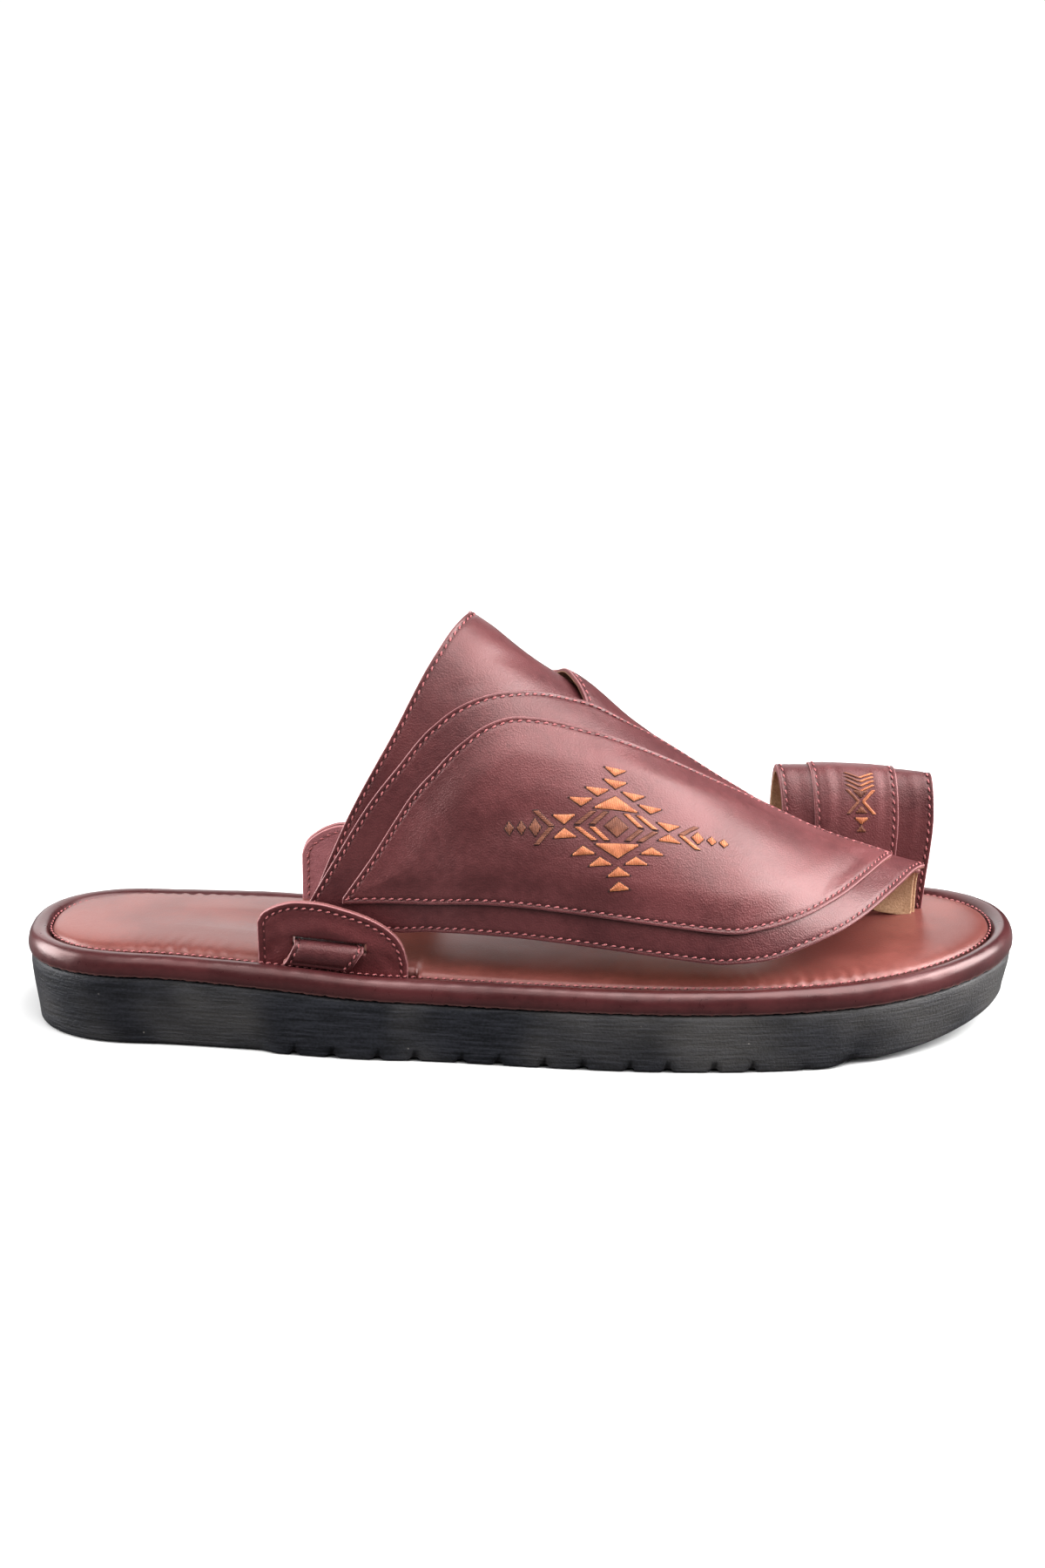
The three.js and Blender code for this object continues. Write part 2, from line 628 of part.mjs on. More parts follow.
function outsole() {
  const body = ringSolid([
    variedRing((x) => WELT_SETBACK + BEVEL_INSET + endTaper(x), soleBottom),
    variedRing((x) => WELT_SETBACK + endTaper(x), (x) => soleBottom(x) + EDGE_BEVEL),
    variedRing((x) => WELT_SETBACK + WALL_HOLLOW + endTaper(x) / 2, (x) => (
      (soleBottom(x) + soleTop(x)) / 2)),
    soleRing(WELT_SETBACK, soleTop),
  ]);
  const grooves = [];
  for (const start of TREAD_STARTS) {
    for (let k = 0; k < TREAD_PAIRS; k += 1) {
      const groove = new THREE.BoxGeometry(TREAD_WIDTH, 2 * BALL_WIDTH, 2 * TREAD_DEPTH);
      groove.translate(start + k * TREAD_PITCH - LENGTH / 2, 0, 0);
      grooves.push(groove);
    }
  }
  return cut(body, grooves);
}

// Profile of the rolled rim. Outside, inset and level are shares of the crest's own; inside,
// they are shares of the way from the crest to the groove.
const RIM_OUTSIDE = [
  { inset: 0.033, level: 0.24 },
  { inset: 0, level: 0.5 },
  { inset: 0.233, level: 0.8 },
  { inset: 1, level: 1 },
];
const RIM_INSIDE = [
  { inset: 0.6, level: 0.4 },
  { inset: 1, level: 1 },
];

function midsole() {
  const inside = ({ inset, level }) => soleRing(
    blend(CREST_INSET, GROOVE_INSET, inset), above(blend(RIM_CREST, GROOVE_LEVEL, level)),
  );
  return ringSolid([
    soleRing(RECESS_INSET, above(GAP)),
    soleRing(WELT_SETBACK, above(GAP)),
    ...RIM_OUTSIDE.map(({ inset, level }) => (
      soleRing(inset * CREST_INSET, above(level * RIM_CREST)))),
    ...RIM_INSIDE.map(inside),
    soleRing(RECESS_INSET, above(GROOVE_LEVEL)),
    soleRing(RECESS_INSET, above(GAP + BOARD)),
  ]);
}

// Rings of the padded footbed, from its edge to its crown: inset beyond the recess, and rise as
// a share of the pad's height.
const PAD_RINGS = [
  { inset: 0, rise: 0 },
  { inset: 0, rise: 0.52 },
  { inset: 1.2, rise: 0.68 },
  { inset: 4, rise: 0.85 },
  { inset: 9, rise: 0.96 },
  { inset: 16, rise: 1 },
];

function footbed() {
  const rings = PAD_RINGS.map(({ inset, rise }) => soleRing(RECESS_INSET + GAP + inset,
    (x) => bedLevel(x) + rise * PAD_RISE));
  return cut(ringSolid(rings), [
    earNotch(EARS.lateral),
    earNotch(EARS.medial),
    loopSheet(LOOP_SLOT, -LOOP_WALL - GAP, GAP, CELLS.loopNotch, GAP),
    leafTipNotch(),
  ]);
}

// The part of the toe slot that the front ends of both leaves go down into.
const TIP_NOTCH = { from: 0.8, to: 0.992 };

function leafTipNotch() {
  const [first, last] = [MEDIAL_LEAF.at(-3).at, LATERAL_LEAF.at(-1).at];
  const face = (offset) => (u, v) => {
    const x = lengthwise(blend(first, last, u)) + blend(-GAP, GAP, u);
    const point = offLast(x, blend(TIP_NOTCH.from, TIP_NOTCH.to, v), offset);
    return v === 1 ? point.setZ(STRAP_BASE - GAP) : point;
  };
  return sheetSolid(face(LEAF_OUTER + GAP), face(LEAF_INNER - GAP), CELLS.tipNotch);
}

const part = new THREE.Group();

function addPiece(name, geometry, look) {
  const mesh = new THREE.Mesh(geometry, new THREE.MeshStandardMaterial(look));
  mesh.name = name;
  part.add(mesh);
}

addPiece('outsole', outsole(), COLOURS.rubber);
addPiece('midsole', midsole(), COLOURS.rim);
addPiece('footbed', footbed(), COLOURS.bed);
addPiece('upper', upper(), COLOURS.strap);
addPiece('leaf_overlay', leafOverlay(), COLOURS.panel);
addPiece('toe_loop', toeLoop(), COLOURS.loop);
addPiece('toe_loop_band', toeLoopBand(), COLOURS.panel);
for (const [name, ear] of Object.entries(EARS)) {
  addPiece(`${name}_ear`, earSolid(ear), COLOURS.rim);
  addPiece(`${name}_strap_tab`, strapTab(ear), COLOURS.strap);
}

// The whole stands on the ground with the middle of its length and width over the origin.
const box = new THREE.Box3().setFromObject(part);
const middle = box.getCenter(new THREE.Vector3());
part.position.set(-middle.x, -middle.y, -box.min.z);

export default part;
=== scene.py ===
"""Looks of a right-foot leather sandal of the Arabian Gulf kind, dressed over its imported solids.

Every form is worked out in millimetres from the same named sizes as the solids, then laid into
the row frame in metres. +X runs to the toe, +Y to the inner (medial) side, +Z up.
"""

import enum
import logging
import math
from collections.abc import Callable, Sequence
from dataclasses import dataclass, field
from typing import Any

import bpy
import numpy as np
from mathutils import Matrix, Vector
from mathutils.kdtree import KDTree


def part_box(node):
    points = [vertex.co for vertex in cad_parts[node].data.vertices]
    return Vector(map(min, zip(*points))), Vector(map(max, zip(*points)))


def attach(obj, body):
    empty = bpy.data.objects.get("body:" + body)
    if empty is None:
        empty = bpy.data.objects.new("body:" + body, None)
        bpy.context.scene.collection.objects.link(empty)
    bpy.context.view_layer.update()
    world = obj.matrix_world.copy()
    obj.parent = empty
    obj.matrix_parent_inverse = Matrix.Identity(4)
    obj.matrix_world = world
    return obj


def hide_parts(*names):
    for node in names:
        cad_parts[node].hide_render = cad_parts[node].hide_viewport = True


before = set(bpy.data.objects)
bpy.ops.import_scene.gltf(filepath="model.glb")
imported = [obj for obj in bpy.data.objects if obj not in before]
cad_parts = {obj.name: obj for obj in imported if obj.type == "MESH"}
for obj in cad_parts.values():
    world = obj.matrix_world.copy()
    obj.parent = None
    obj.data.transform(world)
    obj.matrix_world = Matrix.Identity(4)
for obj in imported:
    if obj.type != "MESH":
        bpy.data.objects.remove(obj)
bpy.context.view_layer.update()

LOG = logging.getLogger("sandal")
MM = 0.001
Array = np.ndarray
Place = Callable[[Array, Array, Any], Array]
Field2 = Callable[[Array, Array], Array]


def blend(a: Any, b: Any, t: Any) -> Any:
    """The value a share t of the way from a to b."""
    return a + (b - a) * t


def smoothstep(value: Any, low: float, high: float) -> Array:
    """0 below low, 1 above high and a smooth rise between them."""
    t = np.clip((value - low) / (high - low), 0, 1)
    return t * t * (3 - 2 * t)


def bell(value: Any, centre: Any, width: Any) -> Array:
    """A soft hump of height 1 at centre."""
    return np.exp(-(((value - centre) / width) ** 2))


def unit(vectors: Array) -> Array:
    """The same vectors with length 1."""
    return vectors / np.maximum(np.linalg.norm(vectors, axis=-1, keepdims=True), 1e-9)


def linear(red: int, green: int, blue: int) -> tuple[float, float, float, float]:
    """A display colour from 0 to 255 as the linear colour that shaders take."""
    parts = [c / 255 for c in (red, green, blue)]
    return (*[c / 12.92 if c <= 0.04045 else ((c + 0.055) / 1.055) ** 2.4 for c in parts], 1.0)


class Table:
    """Rows of named columns. Every column follows the first as a smooth monotone curve."""

    def __init__(self, columns: str, *rows: tuple[float, ...]) -> None:
        """Keeps the rows and works out the slope of each column at each row.

        Args:
            columns: The names of the columns, the key first.
            rows: One tuple for each row, in rising order of the key.
        """
        self.names = columns.split()
        self.rows = np.array(rows, float)
        self.key = self.rows[:, 0]
        run = np.diff(self.key)[:, None]
        slope = np.diff(self.rows, axis=0) / run
        before = 2 * run[1:] + run[:-1]
        after = run[1:] + 2 * run[:-1]
        with np.errstate(divide="ignore", invalid="ignore"):
            mean = (before + after) / (before / slope[:-1] + after / slope[1:])
        inner = np.where(slope[:-1] * slope[1:] > 0, mean, 0.0)
        self.slopes = np.vstack([slope[:1], inner, slope[-1:]])

    def __call__(self, name: str, value: Any) -> Array:
        """The named column at the given values of the key.

        Args:
            name: The column.
            value: Values of the key, held to the table's own range.

        Returns:
            The column's values, in the shape of value.
        """
        column = self.names.index(name)
        at = np.clip(np.asarray(value, float), self.key[0], self.key[-1])
        i = np.clip(np.searchsorted(self.key, at, side="right") - 1, 0, len(self.key) - 2)
        run = self.key[i + 1] - self.key[i]
        t = (at - self.key[i]) / run
        y, m = self.rows[:, column], self.slopes[:, column]
        rise = y[i] * (1 + 2 * t) * (1 - t) ** 2 + y[i + 1] * t * t * (3 - 2 * t)
        return rise + run * (m[i] * t * (1 - t) ** 2 - m[i + 1] * t * t * (1 - t))


class Side(enum.Enum):
    """The two sides of the shoe, as the sign of Y."""

    LATERAL = -1
    MEDIAL = 1


OUTLINE = Table(
    "at heel waist ball shift",
    (0.0, 0.985, 0, 0, 0.046),
    (0.124, 1, 0, 0, 0.031),
    (0.241, 0.5, 0.5, 0, 0.006),
    (0.379, 0, 1, 0, -0.031),
    (0.517, 0, 0.625, 0.375, -0.037),
    (0.638, 0, 0.19, 0.81, -0.019),
    (0.741, 0, 0, 1, 0.01),
    (0.845, 0, 0, 1, 0.035),
    (1.0, 0, 0, 0.928, 0.062),
)
LAST = Table(
    "at ridge rise lateral medial outer inner",
    (0.24, 0.0, 1.437, -0.215, 0.2, 2.0, 2.0),
    (0.33, 0.005, 1.226, -0.247, 0.208, 2.0, 2.0),
    (0.385, 0.007, 1.121, -0.272, 0.211, 2.0, 2.0),
    (0.42, 0.009, 1.056, -0.306, 0.222, 2.0, 2.0),
    (0.45, 0.01, 0.996, -0.34, 0.268, 2.05, 2.05),
    (0.507, 0.007, 0.855, -0.376, 0.294, 2.1, 2.1),
    (0.57, 0.005, 0.731, -0.407, 0.32, 2.1, 2.1),
    (0.7, -0.01, 0.453, -0.443, 0.227, 2.1, 2.0),
    (0.793, 0.005, 0.287, -0.392, 0.1, 2.0, 2.0),
    (0.858, 0.021, 0.214, -0.289, 0.096, 2.0, 2.3),
    (0.914, 0.031, 0.163, -0.165, 0.096, 2.0, 2.6),
)
INSTEP_EDGES = Table(
    "climb rear front medialRear medialFront",
    (0.058, 0.287, 0.345, 0.319, 0.378),
    (0.214, 0.325, 0.382, 0.347, 0.39),
    (0.442, 0.38, 0.44, 0.401, 0.44),
    (0.576, 0.403, 0.475, 0.423, 0.475),
    (0.738, 0.425, 0.52, 0.438, 0.52),
    (0.88, 0.439, 0.56, 0.445, 0.56),
    (1.0, 0.447, 0.58, 0.447, 0.58),
)
LATERAL_LEAF = Table(
    "at lower upper",
    (0.29, 0.034, 0.042),
    (0.303, 0.031, 0.061),
    (0.324, 0.03, 0.092),
    (0.352, 0.031, 0.137),
    (0.387, 0.033, 0.19),
    (0.415, 0.038, 0.238),
    (0.449, 0.041, 0.29),
    (0.482, 0.043, 0.341),
    (0.513, 0.045, 0.388),
    (0.55, 0.046, 0.425),
    (0.583, 0.046, 0.442),
    (0.62, 0.046, 0.477),
    (0.687, 0.045, 0.52),
    (0.708, 0.05, 0.533),
    (0.736, 0.063, 0.552),
    (0.77, 0.1, 0.577),
    (0.805, 0.151, 0.607),
    (0.834, 0.212, 0.67),
    (0.854, 0.272, 0.78),
    (0.872, 0.342, 0.93),
    (0.904, 0.508, 0.985),
)
MEDIAL_LEAF = Table(
    "at lower upper",
    (0.326, 0.032, 0.04),
    (0.344, 0.03, 0.085),
    (0.372, 0.029, 0.155),
    (0.408, 0.035, 0.235),
    (0.449, 0.043, 0.301),
    (0.496, 0.047, 0.369),
    (0.529, 0.049, 0.418),
    (0.541, 0.049, 0.5),
    (0.556, 0.05, 0.556),
    (0.575, 0.05, 0.63),
    (0.64, 0.062, 0.65),
    (0.7, 0.1, 0.64),
    (0.75, 0.165, 0.62),
    (0.8, 0.2, 0.6),
    (0.84, 0.14, 0.58),
    (0.862, 0.04, 0.56),
    (0.9, 0.015, 0.52),
)
OVERLAY = Table(
    "at lower upper",
    (0.328, 0.052, 0.056),
    (0.357, 0.056, 0.095),
    (0.396, 0.061, 0.158),
    (0.436, 0.068, 0.22),
    (0.466, 0.073, 0.272),
    (0.491, 0.077, 0.308),
    (0.518, 0.081, 0.333),
    (0.59, 0.088, 0.376),
    (0.655, 0.097, 0.425),
    (0.7, 0.105, 0.463),
    (0.733, 0.13, 0.487),
    (0.768, 0.174, 0.507),
    (0.805, 0.248, 0.52),
    (0.826, 0.308, 0.522),
    (0.847, 0.382, 0.518),
    (0.867, 0.476, 0.502),
)
LOOP_EDGES = Table(
    "turn rear front",
    (0, 0.7724, 0.912),
    (0.25, 0.769, 0.9224),
    (0.5, 0.7638, 0.9207),
    (0.75, 0.7614, 0.9172),
    (1, 0.7603, 0.9103),
)
LOOP_FOOT = Table("at lateral", (0.76, 0.19), (0.858, 0.16), (0.93, 0.152))
EAR_OUTLINE = Table(
    "along up",
    (0, 0.66),
    (0.03, 0.77),
    (0.09, 0.86),
    (0.17, 0.935),
    (0.265, 0.985),
    (0.4, 1),
    (0.6, 0.945),
    (0.77, 0.845),
    (0.9, 0.69),
    (0.975, 0.49),
    (1, 0.286),
)
TAB_PATH = Table(
    "step out up",
    (0.0, -5.0, 10.7),
    (0.19, -2.4, 10.8),
    (0.38, 0.2, 10.6),
    (0.54, 1.9, 9.4),
    (0.7, 2.5, 7.4),
    (0.85, 2.1, 5.4),
    (1.0, 1.5, 4.1),
)


@dataclass(frozen=True)
class SoleForm:
    """The plan and levels of the sole, in millimetres."""

    length: float = 290.0
    ball_width: float = 97.0
    waist_width: float = 73.0
    heel_width: float = 63.0
    heel_round: float = 36.0
    heel_fullness: float = 2.35
    toe_round: float = 72.0
    toe_fullness: float = 2.2
    heel_thickness: float = 21.0
    fore_thickness: float = 17.2
    toe_lift: float = 4.0
    toe_spring: float = 9.0
    board: float = 3.1
    recess_inset: float = 7.1
    pad_rise: float = 4.9

    def share(self, x: Any) -> Any:
        """The share of the length from the heel at x."""
        return (x + self.length / 2) / self.length

    def lengthwise(self, at: Any) -> Any:
        """The x at a share of the length from the heel."""
        return at * self.length - self.length / 2

    def edge(self, x: Array, inset: Any) -> tuple[Array, Array]:
        """The lateral and the medial edge of the sole at x, drawn in by an inset."""
        at = self.share(x)
        s = at * self.length
        width = (
            OUTLINE("heel", at) * self.heel_width
            + OUTLINE("waist", at) * self.waist_width
            + OUTLINE("ball", at) * self.ball_width
        )
        heel = np.clip((s - inset) / (self.heel_round - inset), 0, 1)
        toe = np.clip((self.length - inset - s) / (self.toe_round - inset), 0, 1)
        half = (width / 2 - inset) * (1 - (1 - heel) ** self.heel_fullness) ** (
            1 / self.heel_fullness
        )
        half = half * (1 - (1 - toe) ** self.toe_fullness) ** (1 / self.toe_fullness)
        centre = OUTLINE("shift", at) * self.ball_width
        return centre - half, centre + half

    def top(self, x: Any) -> Array:
        """The top of the rubber at x."""
        at = self.share(x)
        fall = smoothstep(at, 0.1, 0.45)
        lift = np.maximum(0, (at - 0.707) / 0.293) ** 2
        return blend(self.heel_thickness, self.fore_thickness, fall) + self.toe_lift * lift

    def bottom(self, x: Any) -> Array:
        """The underside of the rubber at x, before its tread."""
        return self.toe_spring * np.maximum(0, (self.share(x) - 0.765) / 0.235) ** 2

    def bed(self, x: Any) -> Array:
        """The top of the board, on which the footbed and the ears stand."""
        return self.top(x) + self.board

    def ring(self, inset: Any, height: Callable[[Array], Array], stations: int) -> Array:
        """A closed ring round the sole, up its lateral side and back down its medial side.

        Args:
            inset: How far the ring is drawn in, as a number or a function of x and side.
            height: Its height as a function of x.
            stations: Steps along one side.

        Returns:
            Points of the ring, twice as many as the stations.
        """
        base = inset if isinstance(inset, (int, float)) else 0.0
        turn = np.pi * np.arange(stations + 1) / stations
        x = -(self.length / 2 - base) * np.cos(turn)
        deep = [np.full_like(x, base)] * 2
        if callable(inset):
            deep = [inset(x, Side.LATERAL), inset(x, Side.MEDIAL)]
            x = -(self.length / 2 - (deep[0] + deep[1]) / 2) * np.cos(turn)
        lateral = np.stack([x, self.edge(x, deep[0])[0], height(x)], axis=-1)
        medial = np.stack([x, self.edge(x, deep[1])[1], height(x)], axis=-1)
        return np.concatenate([lateral, medial[1:-1][::-1]])


@dataclass(frozen=True)
class LastForm:
    """The surface that the straps are laid on."""

    sole: SoleForm
    instep_rise: float = 95.0
    base: float = 24.5

    def point(self, at: Array, turn: Array) -> Array:
        """Points of the last at shares of its length and of the half turn over it."""
        angle = turn * np.pi
        outside = turn < 0.5
        full = np.where(outside, LAST("outer", at), LAST("inner", at))
        spread = np.abs(np.cos(angle)) ** (2 / full)
        climb = np.abs(np.sin(angle)) ** (2 / full)
        foot = np.where(outside, LAST("lateral", at), LAST("medial", at))
        y = blend(LAST("ridge", at), foot, spread) * self.sole.ball_width
        z = self.base + LAST("rise", at) * self.instep_rise * climb
        return np.stack([self.sole.lengthwise(at) + 0 * turn, y, z], axis=-1)

    def off(self, at: Array, turn: Array, offset: Any) -> Array:
        """Points that stand off the last by an offset along its normal."""
        step = 1e-4
        ahead = self.point(at + step, turn) - self.point(at - step, turn)
        around = self.point(at, turn + 5 * step) - self.point(at, turn - 5 * step)
        normal = unit(np.cross(ahead, around))
        return self.point(at, turn) + normal * np.asarray(offset)[..., None]


SOLE = SoleForm()
SHOE_LAST = LastForm(SOLE)


class Workshop:
    """Lays arrays of points into the row frame as finished pieces."""

    def __init__(self) -> None:
        """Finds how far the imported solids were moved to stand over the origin."""
        low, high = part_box("midsole")
        x = np.linspace(-SOLE.length / 2, SOLE.length / 2, 2001)
        lateral, medial = SOLE.edge(x, 0.0)
        middle = (lateral.min() + medial.max()) / 2
        self.shift = np.array([(low.x + high.x) / 2, (low.y + high.y) / 2 - middle * MM, 0.0])

    def lay(self, points: Array) -> Array:
        """Points in millimetres of the forms, as metres of the row frame."""
        return points * MM + self.shift

    def piece(
        self,
        name: str,
        points: Array,
        faces: list[Array],
        finishes: list[bpy.types.Material],
        face_finish: Array | None = None,
        marks: dict[str, Array] | None = None,
    ) -> bpy.types.Object:
        """Makes one smooth mesh object from its points and faces.

        Args:
            name: The piece's name.
            points: Its points in millimetres.
            faces: Arrays of quads or triangles of a closed surface.
            finishes: Its materials.
            face_finish: The number of the material of each face.
            marks: Named values for each point, which its materials read.

        Returns:
            The object, with its faces pointing outwards.
        """
        volume = 0.0
        for block in faces:
            corner = [points[block[:, k]] for k in range(block.shape[1])]
            for k in range(1, block.shape[1] - 1):
                volume += np.sum(corner[0] * np.cross(corner[k], corner[k + 1]))
        order = slice(None) if volume > 0 else slice(None, None, -1)
        listed = [face for block in faces for face in block[:, order].tolist()]
        mesh = bpy.data.meshes.new(name)
        mesh.from_pydata(self.lay(points).tolist(), [], listed)
        for finish in finishes:
            mesh.materials.append(finish)
        if face_finish is not None:
            mesh.polygons.foreach_set("material_index", face_finish.astype(np.int32))
        for mark, values in (marks or {}).items():
            attribute = mesh.attributes.new(mark, "FLOAT", "POINT")
            attribute.data.foreach_set("value", values.astype(np.float32))
        mesh.shade_smooth()
        mesh.update()
        made = bpy.data.objects.new(name, mesh)
        bpy.context.scene.collection.objects.link(made)
        return made

    def fit(self, made: bpy.types.Object, node: str, slot: str) -> bpy.types.Object:
        """Hands a piece to the frame: it rides on the body and stands for a node."""
        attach(made, "root")
        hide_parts(node)
        LOG.info("%s: %d faces", made.name, len(made.data.polygons))
        return made


@dataclass(frozen=True)
class Relief:
    """How the face of a sewn leather sheet rises and falls near its border, in millimetres."""

    edge_round: float = 0.35
    seam_inset: float = 1.35
    seam_depth: float = 0.26
    seam_width: float = 0.5
    crown: float = 0.0
    crown_reach: float = 8.0

    def height(self, distance: Array) -> Array:
        """The rise of the face at a distance from the border."""
        r = self.edge_round
        near = r - np.minimum(distance, r)
        fall = r - np.sqrt(np.maximum(r * r - near * near, 0))
        seam = self.seam_depth * bell(distance, self.seam_inset, self.seam_width)
        start = self.seam_inset + 0.3
        return self.crown * smoothstep(distance, start, start + self.crown_reach) - fall - seam


@dataclass(frozen=True)
class Fold:
    """A soft trough (below 0) or ridge laid along a path over a sheet."""

    path: tuple[tuple[float, float], ...]
    width: float
    depth: float

    def height(self, sheet: "Sheet", points: Array) -> Array:
        """The rise that the fold gives to points of the sheet's face."""
        knots = np.array(self.path)
        steps = np.linspace(0, len(knots) - 1, 60)
        s = np.interp(steps, np.arange(len(knots)), knots[:, 0])
        t = np.interp(steps, np.arange(len(knots)), knots[:, 1])
        line = sheet.place(s, t, sheet.outer(s, t))
        flat = points.reshape(-1, 3)
        away = np.linalg.norm(flat[:, None] - line[None], axis=-1)
        nearest = away.argmin(axis=1)
        taper = np.sin(np.pi * np.linspace(0, 1, 60)) ** 0.7
        rise = self.depth * taper[nearest] * bell(away.min(axis=1), 0, self.width)
        return rise.reshape(points.shape[:-1])


EDGE_STEPS = np.array([0, 0.1, 0.25, 0.5, 0.8, 1.05, 1.35, 1.65, 2.0, 2.6, 3.4])


def edge_rows(width: Array, middle: int) -> Array:
    """Shares across a sheet that lie close together near both of its borders.

    Args:
        width: The sheet's width at each station.
        middle: Steps between the two close-set bands.

    Returns:
        One row of shares for each station.
    """
    width = np.atleast_1d(width)[:, None]
    fit = np.minimum(1, width / (2 * EDGE_STEPS[-1] + 0.4 * middle))
    near = EDGE_STEPS[None] * fit
    inner = np.linspace(0, 1, middle + 1)[None, 1:-1]
    between = blend(near[:, -1:], width - near[:, -1:], inner)
    return np.hstack([near, between, width - near[:, ::-1]]) / width


def path_length(points: Array) -> Array:
    """The length along a path up to each of its points."""
    return np.concatenate([[0], np.cumsum(np.linalg.norm(np.diff(points, axis=0), axis=-1))])


class Sheet:
    """A leather sheet with a cut edge, laid by a rule on shares s along it and t across it."""

    def __init__(
        self,
        place: Place,
        inner: Field2,
        outer: Field2,
        relief: Relief,
        along: int,
        across: int,
        folds: Sequence[Fold] = (),
    ) -> None:
        """Keeps the rule and lays out the grid of the sheet.

        Args:
            place: Points at s, t and an offset from the surface that the sheet lies on.
            inner: Offset of its inner face.
            outer: Offset of its outer face.
            relief: The rise and fall near its border.
            along: Steps along it between the close-set bands.
            across: Steps across it between the close-set bands.
            folds: Creases placed one by one.
        """
        self.place = place
        self.inner = inner
        self.outer = outer
        self.relief = relief
        self.folds = folds
        fine = np.linspace(0, 1, 400)
        spine = path_length(self.face(fine, np.full(400, 0.5)))
        stops = np.interp(edge_rows(spine[-1:], along)[0] * spine[-1], spine, fine)
        sample = np.linspace(0, 1, 9)
        grid_s, grid_t = np.meshgrid(stops, sample, indexing="ij")
        cross = self.face(grid_s, grid_t)
        width = np.linalg.norm(np.diff(cross, axis=1), axis=-1).sum(axis=1)
        self.t = edge_rows(width, across)
        self.s = np.repeat(stops[:, None], self.t.shape[1], axis=1)
        self.kept = np.ones((self.s.shape[0] - 1, self.s.shape[1] - 1), bool)
        self.border = self._border()

    def face(self, s: Array, t: Array) -> Array:
        """Points of the outer face before any relief."""
        return self.place(s, t, self.outer(s, t))

    def _border(self) -> KDTree:
        """A search tree of points close together round the border."""
        fine = np.linspace(0, 1, 2400)
        none = np.zeros_like(fine)
        rim = [
            self.face(fine, none),
            self.face(fine, none + 1),
            self.face(none[::4], fine[::4]),
            self.face(none[::4] + 1, fine[::4]),
        ]
        points = np.concatenate(rim)
        tree = KDTree(len(points))
        for i, point in enumerate(points.tolist()):
            tree.insert(point, i)
        tree.balance()
        return tree

    def distance(self, points: Array) -> Array:
        """How far points of the face lie from the border."""
        flat = points.reshape(-1, 3).tolist()
        found = [self.border.find(point)[2] for point in flat]
        return np.array(found).reshape(points.shape[:-1])

    def shell(self) -> tuple[Array, Array, Array, dict[str, Array]]:
        """The closed skin of the sheet.

        Returns:
            Points, quads, the finish of each quad (0 face, 1 lining, 2 cut edge) and marks.
        """
        s, t = self.s, self.t
        base = self.face(s, t)
        distance = self.distance(base)
        distance[[0, -1], :] = 0
        distance[:, [0, -1]] = 0
        rise = self.relief.height(distance)
        folds = np.zeros_like(rise)
        for fold in self.folds:
            folds += fold.height(self, base)
        folds *= smoothstep(distance, 0.0, 3.0)
        outer = self.place(s, t, self.outer(s, t) + rise + folds)
        lining_round = 0.25
        near = lining_round - np.minimum(distance, lining_round)
        lift = lining_round - np.sqrt(np.maximum(lining_round**2 - near**2, 0))
        inner = self.place(s, t, self.inner(s, t) + lift + 0.6 * np.minimum(folds, 0))
        points = np.concatenate([outer.reshape(-1, 3), inner.reshape(-1, 3)])
        quads, finish = closed_quads(s.shape, self.kept)
        used, flat = np.unique(quads, return_inverse=True)
        marks = {
            "border": np.concatenate([distance.ravel()] * 2)[used],
            "fold": np.concatenate([(folds + rise).ravel()] * 2)[used],
        }
        return points[used], flat.reshape(quads.shape), finish, marks

    def seam(
        self, path: Array, inset: float, lift: float = 0.1, close: bool = False
    ) -> "SeamLine":
        """A stitch line that runs inside a stretch of the border.

        Args:
            path: Shares s, t along the border.
            inset: How far inside the border the stitches run.
            lift: How far the thread's middle stands over the trough.
            close: True for a line that joins its own start.

        Returns:
            The line's points and normals, without those that come too near another border.
        """
        s, t = path[:, 0], path[:, 1]
        rim = self.face(s, t)
        tangent = unit(np.gradient(rim, axis=0))
        inside = self.face(blend(s, 0.5, 0.02), blend(t, 0.5, 0.04)) - rim
        up = self.place(s, t, self.outer(s, t) + 1.0) - rim
        normal = unit(up - tangent * np.sum(up * tangent, axis=-1, keepdims=True))
        inward = np.cross(normal, tangent)
        if np.sum(inward * inside) < 0:
            return self.seam(path[::-1], inset, lift, close)
        level = float(self.relief.height(np.array([inset]))[0]) + lift
        line = rim + inward * inset
        clear = self.distance(line) > 0.94 * inset
        return SeamLine(line + normal * level, normal, clear, close)


def closed_quads(shape: tuple[int, int], kept: Array) -> tuple[Array, Array]:
    """Quads of two matching grids and of the walls round what is kept of them.

    Args:
        shape: Points of one grid.
        kept: Which cells of the grid are leather.

    Returns:
        The quads, and 0, 1 or 2 for a quad of the outer grid, the inner grid or a wall.
    """
    rows, cols = shape
    number = np.arange(rows * cols).reshape(shape)
    layer = rows * cols
    a, b = number[:-1, :-1], number[1:, :-1]
    c, d = number[1:, 1:], number[:-1, 1:]
    face = np.stack([a, b, c, d], axis=-1)[kept]
    padded = np.pad(kept, 1)
    walls = []
    for gone, first, second in (
        (~padded[:-2, 1:-1], d, a),
        (~padded[2:, 1:-1], b, c),
        (~padded[1:-1, :-2], a, b),
        (~padded[1:-1, 2:], c, d),
    ):
        open_side = kept & gone
        p, q = first[open_side], second[open_side]
        walls.append(np.stack([q, p, p + layer, q + layer], axis=-1))
    wall = np.concatenate(walls)
    quads = np.concatenate([face, face[:, ::-1] + layer, wall])
    finish = np.repeat([0, 1, 2], [len(face), len(face), len(wall)])
    return quads, finish


